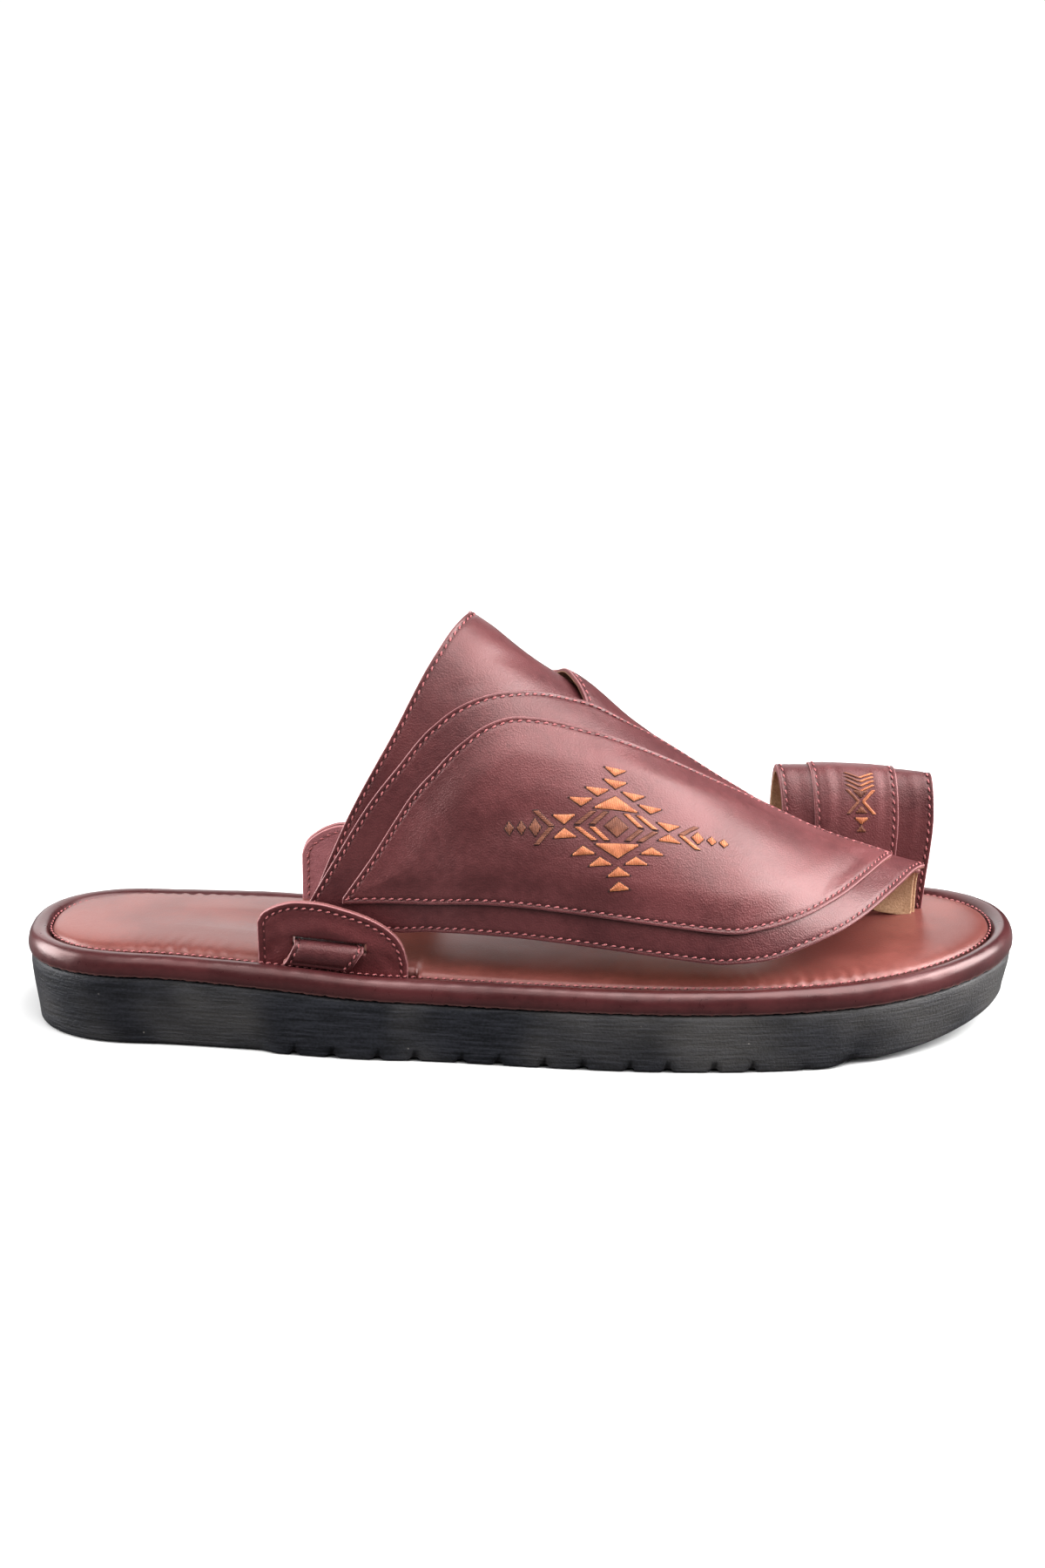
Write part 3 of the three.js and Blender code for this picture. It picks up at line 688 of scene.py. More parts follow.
@dataclass
class SeamLine:
    """Points and normals of a stitch line, and which of them are sewn."""

    points: Array
    normals: Array
    clear: Array
    close: bool = False

    def runs(self) -> list[tuple[Array, Array]]:
        """The stretches of the line that are sewn without a break."""
        found = []
        start = None
        for i, good in enumerate([*self.clear.tolist(), False]):
            if good and start is None:
                start = i
            if not good and start is not None:
                if i - start > 3:
                    found.append((self.points[start:i], self.normals[start:i]))
                start = None
        return found


def straight_path(corners: Sequence[tuple[float, float]], steps: int = 500) -> Array:
    """Shares s, t spaced evenly along straight stretches between corners."""
    knots = np.array(corners, float)
    at = np.linspace(0, len(knots) - 1, steps * (len(knots) - 1) + 1)
    index = np.arange(len(knots))
    return np.stack([np.interp(at, index, knots[:, k]) for k in (0, 1)], axis=-1)


class Tree:
    """Writes a node tree a node to a line."""

    def __init__(self, tree: bpy.types.NodeTree) -> None:
        """Keeps the tree that nodes are added to."""
        self.tree = tree

    def node(self, kind: str, inputs: dict[Any, Any] | None = None, **settings: Any) -> Any:
        """Adds a node.

        Args:
            kind: The node's type.
            inputs: Values or sockets for its inputs.
            settings: Its own properties.

        Returns:
            The node.
        """
        made = self.tree.nodes.new(kind)
        for key, value in settings.items():
            setattr(made, key, value)
        for key, value in (inputs or {}).items():
            if isinstance(value, bpy.types.NodeSocket):
                self.tree.links.new(value, made.inputs[key])
            else:
                made.inputs[key].default_value = value
        return made

    def math(self, operation: str, a: Any, b: Any = 0.0) -> Any:
        """The result of a sum of two values."""
        return self.node("ShaderNodeMath", {0: a, 1: b}, operation=operation).outputs[0]

    def range(self, value: Any, low: float, high: float, start: float = 0.0, end: float = 1.0) -> Any:
        """A value mapped smoothly from low..high to start..end."""
        inputs = {"Value": value, "From Min": low, "From Max": high, "To Min": start, "To Max": end}
        made = self.node("ShaderNodeMapRange", inputs, interpolation_type="SMOOTHSTEP")
        return made.outputs["Result"]

    def mix(self, factor: Any, a: Any, b: Any, way: str = "MIX") -> Any:
        """Two colours mixed by a factor."""
        made = self.node("ShaderNodeMix", {0: factor, 6: a, 7: b}, data_type="RGBA", blend_type=way)
        return made.outputs[2]

    def noise(self, where: Any, scale: Any, detail: float = 2.0, rough: float = 0.5) -> Any:
        """Soft noise from 0 to 1."""
        inputs = {"Vector": where, "Scale": scale, "Detail": detail, "Roughness": rough}
        return self.node("ShaderNodeTexNoise", inputs).outputs["Fac"]

    def mark(self, name: str) -> Any:
        """The value of a piece's own mark."""
        made = self.node("ShaderNodeAttribute", attribute_name=name, attribute_type="GEOMETRY")
        return made.outputs["Fac"]


def new_group(name: str, kind: str, inputs: dict[str, tuple[str, Any]], outputs: dict[str, str]) -> Any:
    """A node group with named sockets.

    Args:
        name: The group's name.
        kind: ShaderNodeTree or GeometryNodeTree.
        inputs: Socket type and starting value of each input.
        outputs: Socket type of each output.

    Returns:
        The group.
    """
    group = bpy.data.node_groups.new(name, kind)
    for label, (socket_type, value) in inputs.items():
        socket = group.interface.new_socket(name=label, in_out="INPUT", socket_type=socket_type)
        if value is not None:
            socket.default_value = value
    for label, socket_type in outputs.items():
        group.interface.new_socket(name=label, in_out="OUTPUT", socket_type=socket_type)
    return group


def leather_skin_group() -> bpy.types.NodeTree:
    """The grain, pores and slow shade of finished leather, as heights and masks."""
    number = "NodeSocketFloat"
    group = new_group(
        "leather_skin",
        "ShaderNodeTree",
        {"Grain": (number, 1500.0), "Folds": (number, 70.0)},
        {"Grain": number, "Folds": number, "Mottle": number, "Cloud": number},
    )
    tree = Tree(group)
    given = tree.node("NodeGroupInput").outputs
    where = tree.node("ShaderNodeTexCoord").outputs["Object"]
    cells = tree.node(
        "ShaderNodeTexVoronoi", {"Vector": where, "Scale": given["Grain"]}, feature="F1"
    ).outputs["Distance"]
    pores = tree.noise(where, tree.math("MULTIPLY", given["Grain"], 1.7), 3.0)
    grain = tree.math("ADD", tree.math("MULTIPLY", cells, 0.8), tree.math("MULTIPLY", pores, 0.5))
    folds = tree.noise(where, given["Folds"], 1.5, 0.4)
    mottle = tree.noise(where, tree.math("MULTIPLY", given["Folds"], 6.0), 4.0, 0.6)
    cloud = tree.noise(where, tree.math("MULTIPLY", given["Folds"], 0.6), 2.0)
    result = {"Grain": grain, "Folds": folds, "Mottle": mottle, "Cloud": cloud}
    tree.node("NodeGroupOutput", result)
    return group


def rubber_skin_group() -> bpy.types.NodeTree:
    """The brushed streaks, specks and dust of a rubber sole."""
    number = "NodeSocketFloat"
    group = new_group(
        "rubber_skin",
        "ShaderNodeTree",
        {"Streaks": (number, 900.0), "Specks": (number, 260.0)},
        {"Streaks": number, "Specks": number, "Dust": number, "Cloud": number},
    )
    tree = Tree(group)
    given = tree.node("NodeGroupInput").outputs
    where = tree.node("ShaderNodeTexCoord").outputs["Object"]
    drawn = tree.node("ShaderNodeMapping", {"Vector": where, "Scale": (0.1, 0.1, 1.4)})
    streaks = tree.noise(drawn.outputs["Vector"], given["Streaks"], 3.0, 0.6)
    cells = tree.node(
        "ShaderNodeTexVoronoi", {"Vector": where, "Scale": given["Specks"], "Randomness": 1.0}
    )
    spots = tree.range(cells.outputs["Distance"], 0.1, 0.03)
    few = tree.range(tree.noise(where, 90.0, 1.0), 0.56, 0.66)
    specks = tree.math("MULTIPLY", spots, few)
    dust = tree.noise(where, 1400.0, 2.0)
    cloud = tree.noise(where, 24.0, 2.0)
    tree.node("NodeGroupOutput", {"Streaks": streaks, "Specks": specks, "Dust": dust, "Cloud": cloud})
    return group


def new_material(name: str) -> tuple[bpy.types.Material, Tree]:
    """An empty material with its node tree."""
    material = bpy.data.materials.new(name)
    material.use_nodes = True
    material.node_tree.nodes.clear()
    return material, Tree(material.node_tree)


def close_material(
    tree: Tree, colour: Any, roughness: Any, normal: Any | None, fixed: dict[str, Any]
) -> None:
    """Ends a material in a Principled shader.

    Args:
        tree: The material's tree.
        colour: The base colour.
        roughness: The roughness.
        normal: The normal, or None for the plain one.
        fixed: Values set on the shader's own sockets.
    """
    inputs = {"Base Color": colour, "Roughness": roughness, **fixed}
    if normal is not None:
        inputs["Normal"] = normal
    shader = tree.node("ShaderNodeBsdfPrincipled", inputs)
    tree.node("ShaderNodeOutputMaterial", {"Surface": shader.outputs[0]})


@dataclass(frozen=True)
class LeatherFinish:
    """One finished leather: its colours, gloss and grain."""

    name: str
    deep: tuple[int, int, int]
    body: tuple[int, int, int]
    # Border tint colour: a pale cut edge with a painted highlight on strap, panel and ear leathers, painted groove
    # shade on the footbed, the real hem on the rim.
    edge: tuple[int, int, int]
    roughness: float = 0.44
    grain: float = 2000.0
    grain_height: float = 0.00014
    folds: float = 70.0
    fold_height: float = 0.0006
    edge_reach: float = 0.28
    seam_inset: float = 1.35
    coat: float = 0.25

    def material(self, skin: bpy.types.NodeTree) -> bpy.types.Material:
        """Builds the material.

        Args:
            skin: The leather skin group.

        Returns:
            The material.
        """
        material, tree = new_material(self.name)
        given = {"Grain": self.grain, "Folds": self.folds}
        look = tree.node("ShaderNodeGroup", node_tree=skin)
        for label, value in given.items():
            look.inputs[label].default_value = value
        out = look.outputs
        tone = tree.math("ADD", tree.math("MULTIPLY", out["Mottle"], 0.5), out["Cloud"])
        colour = tree.mix(tree.range(tone, 0.55, 0.95), linear(*self.deep), linear(*self.body))
        border = tree.mark("border")
        # Along the stitch line the colour is darkened toward half the deep colour: painted shade in the stitch
        # trough.
        seam = tree.range(tree.math("ABSOLUTE", tree.math("SUBTRACT", border, self.seam_inset)), 0.65, 0.15)
        colour = tree.mix(tree.math("MULTIPLY", seam, 0.5), colour, linear(*[c // 2 for c in self.deep]))
        # Near the border the face is mixed toward the edge colour. On strap, panel and ear leathers this pale line
        # is partly the lighter cut edge and partly a painted highlight on the rounded edge; on the footbed it is
        # painted shade in the groove; on the rim it is the real pale hem where the leather meets the rubber.
        rim = tree.range(border, self.edge_reach, 0.05)
        colour = tree.mix(tree.math("MULTIPLY", rim, 0.6), colour, linear(*self.edge))
        rough = tree.math("ADD", tree.math("MULTIPLY", out["Mottle"], 0.16), self.roughness - 0.08)
        small = tree.node(
            "ShaderNodeBump", {"Strength": 0.8, "Distance": self.grain_height, "Height": out["Grain"]}
        )
        large = tree.node(
            "ShaderNodeBump",
            {
                "Strength": 0.6,
                "Distance": self.fold_height,
                "Height": out["Folds"],
                "Normal": small.outputs[0],
            },
        )
        fixed = {
            "Specular IOR Level": 0.5,
            "Specular Tint": linear(255, 200, 196),
            "Coat Weight": self.coat,
            "Coat Roughness": 0.3,
        }
        close_material(tree, colour, rough, large.outputs[0], fixed)
        return material


@dataclass(frozen=True)
class PlainFinish:
    """A finish of small parts: a cut edge, a lining, a thread, or painted shade for needle holes and round
    embroidered figures.
    """

    name: str
    deep: tuple[int, int, int]
    body: tuple[int, int, int]
    roughness: float
    scale: float
    height: float

    def material(self) -> bpy.types.Material:
        """Builds the material."""
        material, tree = new_material(self.name)
        where = tree.node("ShaderNodeTexCoord").outputs["Object"]
        fibre = tree.noise(where, self.scale, 4.0, 0.6)
        slow = tree.noise(where, self.scale * 0.08, 2.0)
        tone = tree.math("ADD", tree.math("MULTIPLY", fibre, 0.6), tree.math("MULTIPLY", slow, 0.4))
        colour = tree.mix(tree.range(tone, 0.35, 0.65), linear(*self.deep), linear(*self.body))
        bump = tree.node("ShaderNodeBump", {"Strength": 0.7, "Distance": self.height, "Height": fibre})
        close_material(tree, colour, self.roughness, bump.outputs[0], {"Specular IOR Level": 0.35})
        return material


@dataclass(frozen=True)
class RubberFinish:
    """Black sole rubber, brushed along the shoe and a little dusty."""

    name: str = "sole_rubber"
    deep: tuple[int, int, int] = (15, 16, 20)
    body: tuple[int, int, int] = (38, 39, 45)
    dust: tuple[int, int, int] = (140, 135, 130)
    roughness: float = 0.5

    def material(self, skin: bpy.types.NodeTree) -> bpy.types.Material:
        """Builds the material from the rubber skin group."""
        material, tree = new_material(self.name)
        out = tree.node("ShaderNodeGroup", node_tree=skin).outputs
        tone = tree.math("ADD", tree.math("MULTIPLY", out["Streaks"], 0.7), tree.math("MULTIPLY", out["Dust"], 0.3))
        colour = tree.mix(tree.range(tone, 0.35, 0.65), linear(*self.deep), linear(*self.body))
        colour = tree.mix(tree.math("MULTIPLY", out["Specks"], 0.6), colour, linear(*self.dust))
        veil = tree.range(out["Cloud"], 0.42, 0.75, 0.0, 0.2)
        colour = tree.mix(veil, colour, linear(*self.dust))
        rough = tree.math("ADD", tree.math("MULTIPLY", out["Streaks"], 0.2), self.roughness - 0.1)
        height = tree.math("ADD", out["Streaks"], tree.math("MULTIPLY", out["Dust"], 0.6))
        bump = tree.node("ShaderNodeBump", {"Strength": 0.8, "Distance": 0.00035, "Height": height})
        close_material(tree, colour, rough, bump.outputs[0], {"Specular IOR Level": 0.22})
        return material


@dataclass
class Finishes:
    """All the materials of the sandal."""

    strap: bpy.types.Material
    panel: bpy.types.Material
    ear: bpy.types.Material
    facing: bpy.types.Material
    rim: bpy.types.Material
    bed: bpy.types.Material
    lining: bpy.types.Material
    edge: bpy.types.Material
    thread: bpy.types.Material
    hole: bpy.types.Material
    gold_thread: bpy.types.Material
    brown_thread: bpy.types.Material
    shade_thread: bpy.types.Material
    rubber: bpy.types.Material

    @classmethod
    def build(cls) -> "Finishes":
        """Builds every material once."""
        skin = leather_skin_group()
        # Pale border tint of strap, panel and ear leathers: partly the lighter cut edge, partly a painted highlight
        # along the rounded edge.
        edge = (186, 128, 130)
        strap = LeatherFinish("strap_leather", (62, 26, 29), (80, 38, 40), edge)
        panel = LeatherFinish("panel_leather", (70, 32, 34), (90, 45, 47), edge)
        ear = LeatherFinish("ear_leather", (74, 30, 33), (90, 41, 43), edge, seam_inset=1.9, edge_reach=0.45)
        rim = LeatherFinish(
            "rim_leather", (52, 20, 22), (68, 29, 31), (150, 100, 96), roughness=0.3, edge_reach=0.3, grain_height=0.00003,
            seam_inset=-9.0, fold_height=0.0002, coat=0.35,
        )
        # The footbed's dark edge colour (46, 20, 19) is painted shade in the groove between rim and pad.
        bed = LeatherFinish(
            "footbed_leather", (92, 46, 41), (110, 59, 53), (46, 20, 19), roughness=0.42, grain_height=0.00006,
            fold_height=0.0004, seam_inset=-9.0, edge_reach=0.6, coat=0.3,
        )
        # The facing leather is a lighter copy of the ear leather for the inner ply: painted light on the faces that
        # catch the light.
        facing = LeatherFinish("ear_facing_lit_leather", (128, 78, 82), (152, 98, 102), edge, seam_inset=1.9)
        return cls(
            facing=facing.material(skin),
            strap=strap.material(skin),
            panel=panel.material(skin),
            ear=ear.material(skin),
            rim=rim.material(skin),
            bed=bed.material(skin),
            lining=PlainFinish("tan_lining", (160, 124, 94), (198, 162, 128), 0.8, 1800.0, 0.0002).material(),
            edge=PlainFinish("cut_edge", (104, 58, 58), (140, 88, 86), 0.6, 2500.0, 0.0001).material(),
            thread=PlainFinish("pink_thread", (128, 64, 66), (168, 98, 99), 0.6, 6000.0, 0.0001).material(),
            # Near-black needle holes: painted shade in the holes between stitches.
            hole=PlainFinish("needle_hole_shade", (16, 6, 7), (26, 10, 11), 0.9, 3000.0, 0.00005).material(),
            gold_thread=PlainFinish("gold_thread", (154, 84, 54), (206, 130, 88), 0.5, 5000.0, 0.0001).material(),
            brown_thread=PlainFinish("brown_thread", (90, 49, 37), (138, 84, 62), 0.55, 5000.0, 0.0001).material(),
            # Dark outlines round the embroidered figures: painted shadow where the threads and needle holes sink
            # into the leather.
            shade_thread=PlainFinish("shade_thread", (36, 16, 16), (54, 26, 24), 0.8, 4000.0, 0.0001).material(),
            rubber=RubberFinish().material(rubber_skin_group()),
        )


class Stitcher:
    """Sews threads along seam lines with Geometry Nodes."""

    def __init__(self, shop: Workshop, finishes: Finishes) -> None:
        """Builds the two trees that lay stitches and satin threads.

        Args:
            shop: Lays points into the row frame.
            finishes: The materials.
        """
        self.shop = shop
        self.finishes = finishes
        self.stitch_tree = self._stitch_tree()
        self.satin_tree = self._satin_tree()

    def _stitch_tree(self) -> bpy.types.NodeTree:
        """Beads of thread along a line, with a dark bead between each two as painted shade for the needle hole."""
        number, matter = "NodeSocketFloat", "NodeSocketMaterial"
        group = new_group(
            "stitch_line",
            "GeometryNodeTree",
            {
                "Geometry": ("NodeSocketGeometry", None),
                "Pitch": (number, 0.0024),
                "Length": (number, 0.0015),
                "Width": (number, 0.0007),
                "Thread": (matter, None),
                "Hole": (matter, None),
                "Seed": ("NodeSocketInt", 7),
            },
            {"Geometry": "NodeSocketGeometry"},
        )
        tree = Tree(group)
        given = tree.node("NodeGroupInput").outputs
        curve = tree.node("GeometryNodeMeshToCurve", {"Mesh": given["Geometry"]}).outputs[0]
        even = tree.node(
            "GeometryNodeResampleCurve", {"Curve": curve, "Length": given["Pitch"]}, mode="LENGTH"
        ).outputs[0]
        normal = tree.node(
            "GeometryNodeInputNamedAttribute", {"Name": "up"}, data_type="FLOAT_VECTOR"
        ).outputs["Attribute"]
        tangent = tree.node("GeometryNodeInputTangent").outputs[0]
        turned = tree.node(
            "FunctionNodeAxesToRotation", {0: normal, 1: tangent}, primary_axis="Z", secondary_axis="X"
        ).outputs[0]
        slant = tree.node(
            "FunctionNodeRandomValue", {2: 0.14, 3: 0.3, "Seed": given["Seed"]}, data_type="FLOAT"
        ).outputs[1]
        sway = tree.node("ShaderNodeCombineXYZ", {"Z": slant}).outputs[0]
        swayed = tree.node(
            "FunctionNodeRotateRotation",
            {0: turned, 1: tree.node("FunctionNodeEulerToRotation", {0: sway}).outputs[0]},
            rotation_space="LOCAL",
        ).outputs[0]
        half_length = tree.math("MULTIPLY", given["Length"], 0.5)
        half_width = tree.math("MULTIPLY", given["Width"], 0.5)
        bead_size = tree.node(
            "ShaderNodeCombineXYZ", {"X": half_length, "Y": half_width, "Z": half_width}
        ).outputs[0]
        bead = self._bead(tree, 7, 5)
        beads = tree.node(
            "GeometryNodeInstanceOnPoints",
            {"Points": even, "Instance": bead, "Rotation": swayed, "Scale": bead_size},
        ).outputs[0]
        hole_size = tree.node(
            "ShaderNodeCombineXYZ",
            {
                "X": tree.math("MULTIPLY", half_length, 0.95),
                "Y": tree.math("MULTIPLY", half_width, 0.85),
                "Z": tree.math("MULTIPLY", half_width, 0.6),
            },
        ).outputs[0]
        slit = tree.node("FunctionNodeEulerToRotation", {0: (0.0, 0.0, -0.42)}).outputs[0]
        slit_turn = tree.node(
            "FunctionNodeRotateRotation", {0: turned, 1: slit}, rotation_space="LOCAL"
        ).outputs[0]
        # Dark beads between the stitches: painted shade for the needle holes.
        hole_shades = tree.node(
            "GeometryNodeInstanceOnPoints",
            {"Points": even, "Instance": self._bead(tree, 6, 4), "Rotation": slit_turn, "Scale": hole_size},
        ).outputs[0]
        step = tree.node(
            "ShaderNodeCombineXYZ",
            {
                "X": tree.math("MULTIPLY", given["Pitch"], 0.5),
                "Y": tree.math("MULTIPLY", half_width, 0.95),
                "Z": tree.math("MULTIPLY", half_width, -0.5),
            },
        ).outputs[0]
        hole_shades = tree.node(
            "GeometryNodeTranslateInstances", {"Instances": hole_shades, "Translation": step, "Local Space": True}
        ).outputs[0]
        solid_beads = self._finish(tree, beads, given["Thread"])
        solid_hole_shades = self._finish(tree, hole_shades, given["Hole"])
        joined = tree.node("GeometryNodeJoinGeometry")
        for solid in (solid_beads, solid_hole_shades):
            group.links.new(solid, joined.inputs[0])
        tree.node("NodeGroupOutput", {"Geometry": joined.outputs[0]})
        return group

    def _bead(self, tree: Tree, segments: int, rings: int) -> Any:
        """A ball of radius 1 with its poles on the X axis."""
        ball = tree.node(
            "GeometryNodeMeshUVSphere", {"Segments": segments, "Rings": rings, "Radius": 1.0}
        ).outputs[0]
        turn = {"Geometry": ball, "Rotation": (0.0, math.pi / 2, 0.0)}
        return tree.node("GeometryNodeTransform", turn).outputs[0]

    def _finish(self, tree: Tree, shape: Any, material: Any) -> Any:
        """Realizes instances, smooths them and gives them their material."""
        real = tree.node("GeometryNodeRealizeInstances", {"Geometry": shape}).outputs[0]
        smooth = tree.node("GeometryNodeSetShadeSmooth", {"Geometry": real}).outputs[0]
        return tree.node("GeometryNodeSetMaterial", {"Geometry": smooth, "Material": material}).outputs[0]

    def _satin_tree(self) -> bpy.types.NodeTree:
        """Threads of even thickness laid along every line of a mesh."""
        group = new_group(
            "satin_thread",
            "GeometryNodeTree",
            {
                "Geometry": ("NodeSocketGeometry", None),
                "Radius": ("NodeSocketFloat", 0.0002),
                "Sides": ("NodeSocketInt", 5),
                "Thread": ("NodeSocketMaterial", None),
            },
            {"Geometry": "NodeSocketGeometry"},
        )
        tree = Tree(group)
        given = tree.node("NodeGroupInput").outputs
        curve = tree.node("GeometryNodeMeshToCurve", {"Mesh": given["Geometry"]}).outputs[0]
        ring = tree.node(
            "GeometryNodeCurvePrimitiveCircle",
            {"Resolution": given["Sides"], "Radius": given["Radius"]},
            mode="RADIUS",
        ).outputs[0]
        tube = tree.node(
            "GeometryNodeCurveToMesh", {"Curve": curve, "Profile Curve": ring, "Fill Caps": True}
        ).outputs[0]
        tree.node("NodeGroupOutput", {"Geometry": self._finish(tree, tube, given["Thread"])})
        return group

    def _run(self, name: str, lines: list[tuple[Array, Array]], tree: Any, inputs: dict[str, Any]) -> Any:
        """Runs a tree on polylines and returns its plain mesh object.

        Args:
            name: The new piece's name.
            lines: Points in millimetres and normals of each polyline.
            tree: The geometry tree.
            inputs: Values of its named inputs.

        Returns:
            The mesh object.
        """
        points = np.concatenate([line[0] for line in lines])
        normals = np.concatenate([line[1] for line in lines])
        edges, start = [], 0
        for line, _ in lines:
            edges += [(start + i, start + i + 1) for i in range(len(line) - 1)]
            start += len(line)
        mesh = bpy.data.meshes.new(name + "_path")
        mesh.from_pydata(self.shop.lay(points).tolist(), edges, [])
        up = mesh.attributes.new("up", "FLOAT_VECTOR", "POINT")
        up.data.foreach_set("vector", normals.astype(np.float32).ravel())
        carrier = bpy.data.objects.new(name + "_path", mesh)
        bpy.context.scene.collection.objects.link(carrier)
        modifier = carrier.modifiers.new("sew", "NODES")
        modifier.node_group = tree
        for item in tree.interface.items_tree:
            if item.in_out == "INPUT" and item.name in inputs:
                modifier[item.identifier] = inputs[item.name]
        graph = bpy.context.evaluated_depsgraph_get()
        plain = bpy.data.meshes.new_from_object(carrier.evaluated_get(graph))
        carrier.modifiers.remove(modifier)
        bpy.data.objects.remove(carrier)
        plain.name = name
        made = bpy.data.objects.new(name, plain)
        bpy.context.scene.collection.objects.link(made)
        return made

    def sew(self, name: str, seams: Sequence[SeamLine], pitch: float = 2.5) -> bpy.types.Object:
        """Sews stitches along seam lines.

        Args:
            name: The new piece's name.
            seams: The lines to sew.
            pitch: Distance from stitch to stitch in millimetres.

        Returns:
            The stitches as one mesh object.
        """
        lines = [run for seam in seams for run in seam.runs()]
        given = {
            "Pitch": pitch * MM,
            "Length": 0.62 * pitch * MM,
            "Width": 0.64 * MM,
            "Thread": self.finishes.thread,
            "Hole": self.finishes.hole,
            "Seed": 7,
        }
        return self._run(name, lines, self.stitch_tree, given)

    def satin(self, name: str, lines: list[tuple[Array, Array]], radius: float, thread: Any) -> Any:
        """Lays satin threads along polylines and returns them as one mesh object."""
        given = {"Radius": radius * MM, "Sides": 5, "Thread": thread}
        return self._run(name, lines, self.satin_tree, given)


@dataclass
class Upper:
    """The crossed straps: instep strap, medial leaf, lateral leaf and the sewn-on overlay."""

    shop: Workshop
    finishes: Finishes
    stitcher: Stitcher
    arch_lift: float = 2.2
    strap_end: float = 0.029
    medial_inner: float = 1.5
    medial_outer: float = 2.9
    leaf_inner: float = 1.6
    leaf_wall: float = 2.1
    overlay_wall: float = 1.2

    def arch(self, at: Array, turn: Array) -> Array:
        """How far the medial leaf's rear edge arches clear, at a turn from the medial base."""
        along = smoothstep(at, 0.5, 0.545) * (1 - smoothstep(at, 0.545, 0.61))
        over = smoothstep(turn, 0.33, 0.47) * (1 - smoothstep(turn, 0.52, 0.6))
        return self.arch_lift * along * over

    def covered(self, at: Array, turn: Array) -> Array:
        """How fully the lateral leaf lies over the medial leaf, from 0 to 1."""
        border = 1 - MEDIAL_LEAF("upper", at)
        return smoothstep(turn, border - 0.1, border - 0.01) * smoothstep(at, 0.53, 0.575)

    def leaf_base(self, at: Array, turn: Array) -> Array:
        """Offset of the lateral leaf's inner face."""
        over = self.covered(at, turn)
        raised = self.medial_outer + 0.05 - self.leaf_inner + self.arch(at, 1 - turn)
        return self.leaf_inner + over * raised

    def leaf_face(self, at: Array, turn: Array) -> Array:
        """Offset of the lateral leaf's outer face."""
        wall = blend(self.leaf_wall, 1.25, self.covered(at, turn))
        return self.leaf_base(at, turn) + wall

    def _leaf(
        self, table: Table, inner: Field2, outer: Field2, mirrored: bool, relief: Relief,
        along: int, across: int, folds: Sequence[Fold] = (),
    ) -> Sheet:
        """A leaf between the two borders of a table, on either side of the last."""

        def at_turn(s: Array, t: Array) -> tuple[Array, Array]:
            at = blend(table.key[0], table.key[-1], s)
            return at, blend(table("lower", at), table("upper", at), t)

        def place(s: Array, t: Array, offset: Any) -> Array:
            at, turn = at_turn(s, t)
            return SHOE_LAST.off(at, 1 - turn if mirrored else turn, offset)

        def on_leaf(rule: Field2) -> Field2:
            return lambda s, t: rule(*at_turn(s, t))

        return Sheet(place, on_leaf(inner), on_leaf(outer), relief, along, across, folds)

    def instep_strap(self) -> Sheet:
        """The strap over the instep, whose apex stands highest."""

        def place(s: Array, t: Array, offset: Any) -> Array:
            turn = blend(self.strap_end, 1 - self.strap_end, s)
            climb = 1 - np.abs(2 * turn - 1)
            outside = turn < 0.5
            rear = np.where(outside, INSTEP_EDGES("rear", climb), INSTEP_EDGES("medialRear", climb))
            front = np.where(outside, INSTEP_EDGES("front", climb), INSTEP_EDGES("medialFront", climb))
            return SHOE_LAST.off(blend(rear, front, t), turn, offset)

        folds = (
            Fold(((0.36, 0.3), (0.43, 0.45), (0.48, 0.7)), 2.6, -0.22),
            Fold(((0.4, 0.25), (0.47, 0.35), (0.52, 0.5)), 2.4, 0.16),
            Fold(((0.27, 0.35), (0.33, 0.6)), 2.0, -0.16),
        )
        return Sheet(
            place, lambda s, t: 0.0 * s, lambda s, t: 2.0 + 0.0 * s, Relief(crown=0.35), 170, 22, folds
        )

    def medial_leaf(self) -> Sheet:
        """The inner leaf, whose rear edge arches over the instep."""
        return self._leaf(
            MEDIAL_LEAF,
            lambda at, turn: self.medial_inner + self.arch(at, turn),
            lambda at, turn: self.medial_outer + self.arch(at, turn),
            True,
            Relief(),
            170,
            60,
        )

    def lateral_leaf(self) -> Sheet:
        """The outer leaf, which shows as a sewn band round the overlay."""
        folds = (
            Fold(((0.86, 0.25), (0.9, 0.5), (0.93, 0.75)), 2.2, -0.5),
            Fold(((0.9, 0.3), (0.94, 0.55)), 1.8, 0.35),
        )
        return self._leaf(
            LATERAL_LEAF, self.leaf_base, self.leaf_face, False, Relief(crown=0.1), 190, 70, folds
        )

    def overlay(self) -> Sheet:
        """The leaf-shaped overlay that carries the embroidery."""
        folds = (
            Fold(((0.9, 0.2), (0.935, 0.4), (0.955, 0.7)), 1.3, -0.35),
            Fold(((0.87, 0.12), (0.91, 0.35), (0.935, 0.6)), 1.2, -0.3),
            Fold(((0.84, 0.1), (0.88, 0.3), (0.9, 0.5)), 1.3, -0.25),
            Fold(((0.2, 0.3), (0.35, 0.45), (0.5, 0.4)), 5.0, -0.5),
            Fold(((0.3, 0.75), (0.5, 0.78), (0.7, 0.8)), 5.0, 0.35),
        )
        return self._leaf(
            OVERLAY,
            lambda at, turn: self.leaf_face(at, turn) + 0.03,
            lambda at, turn: self.leaf_face(at, turn) + 0.03 + self.overlay_wall,
            False,
            Relief(seam_depth=0.3, crown=0.9, crown_reach=10.0),
            190,
            70,
            folds,
        )

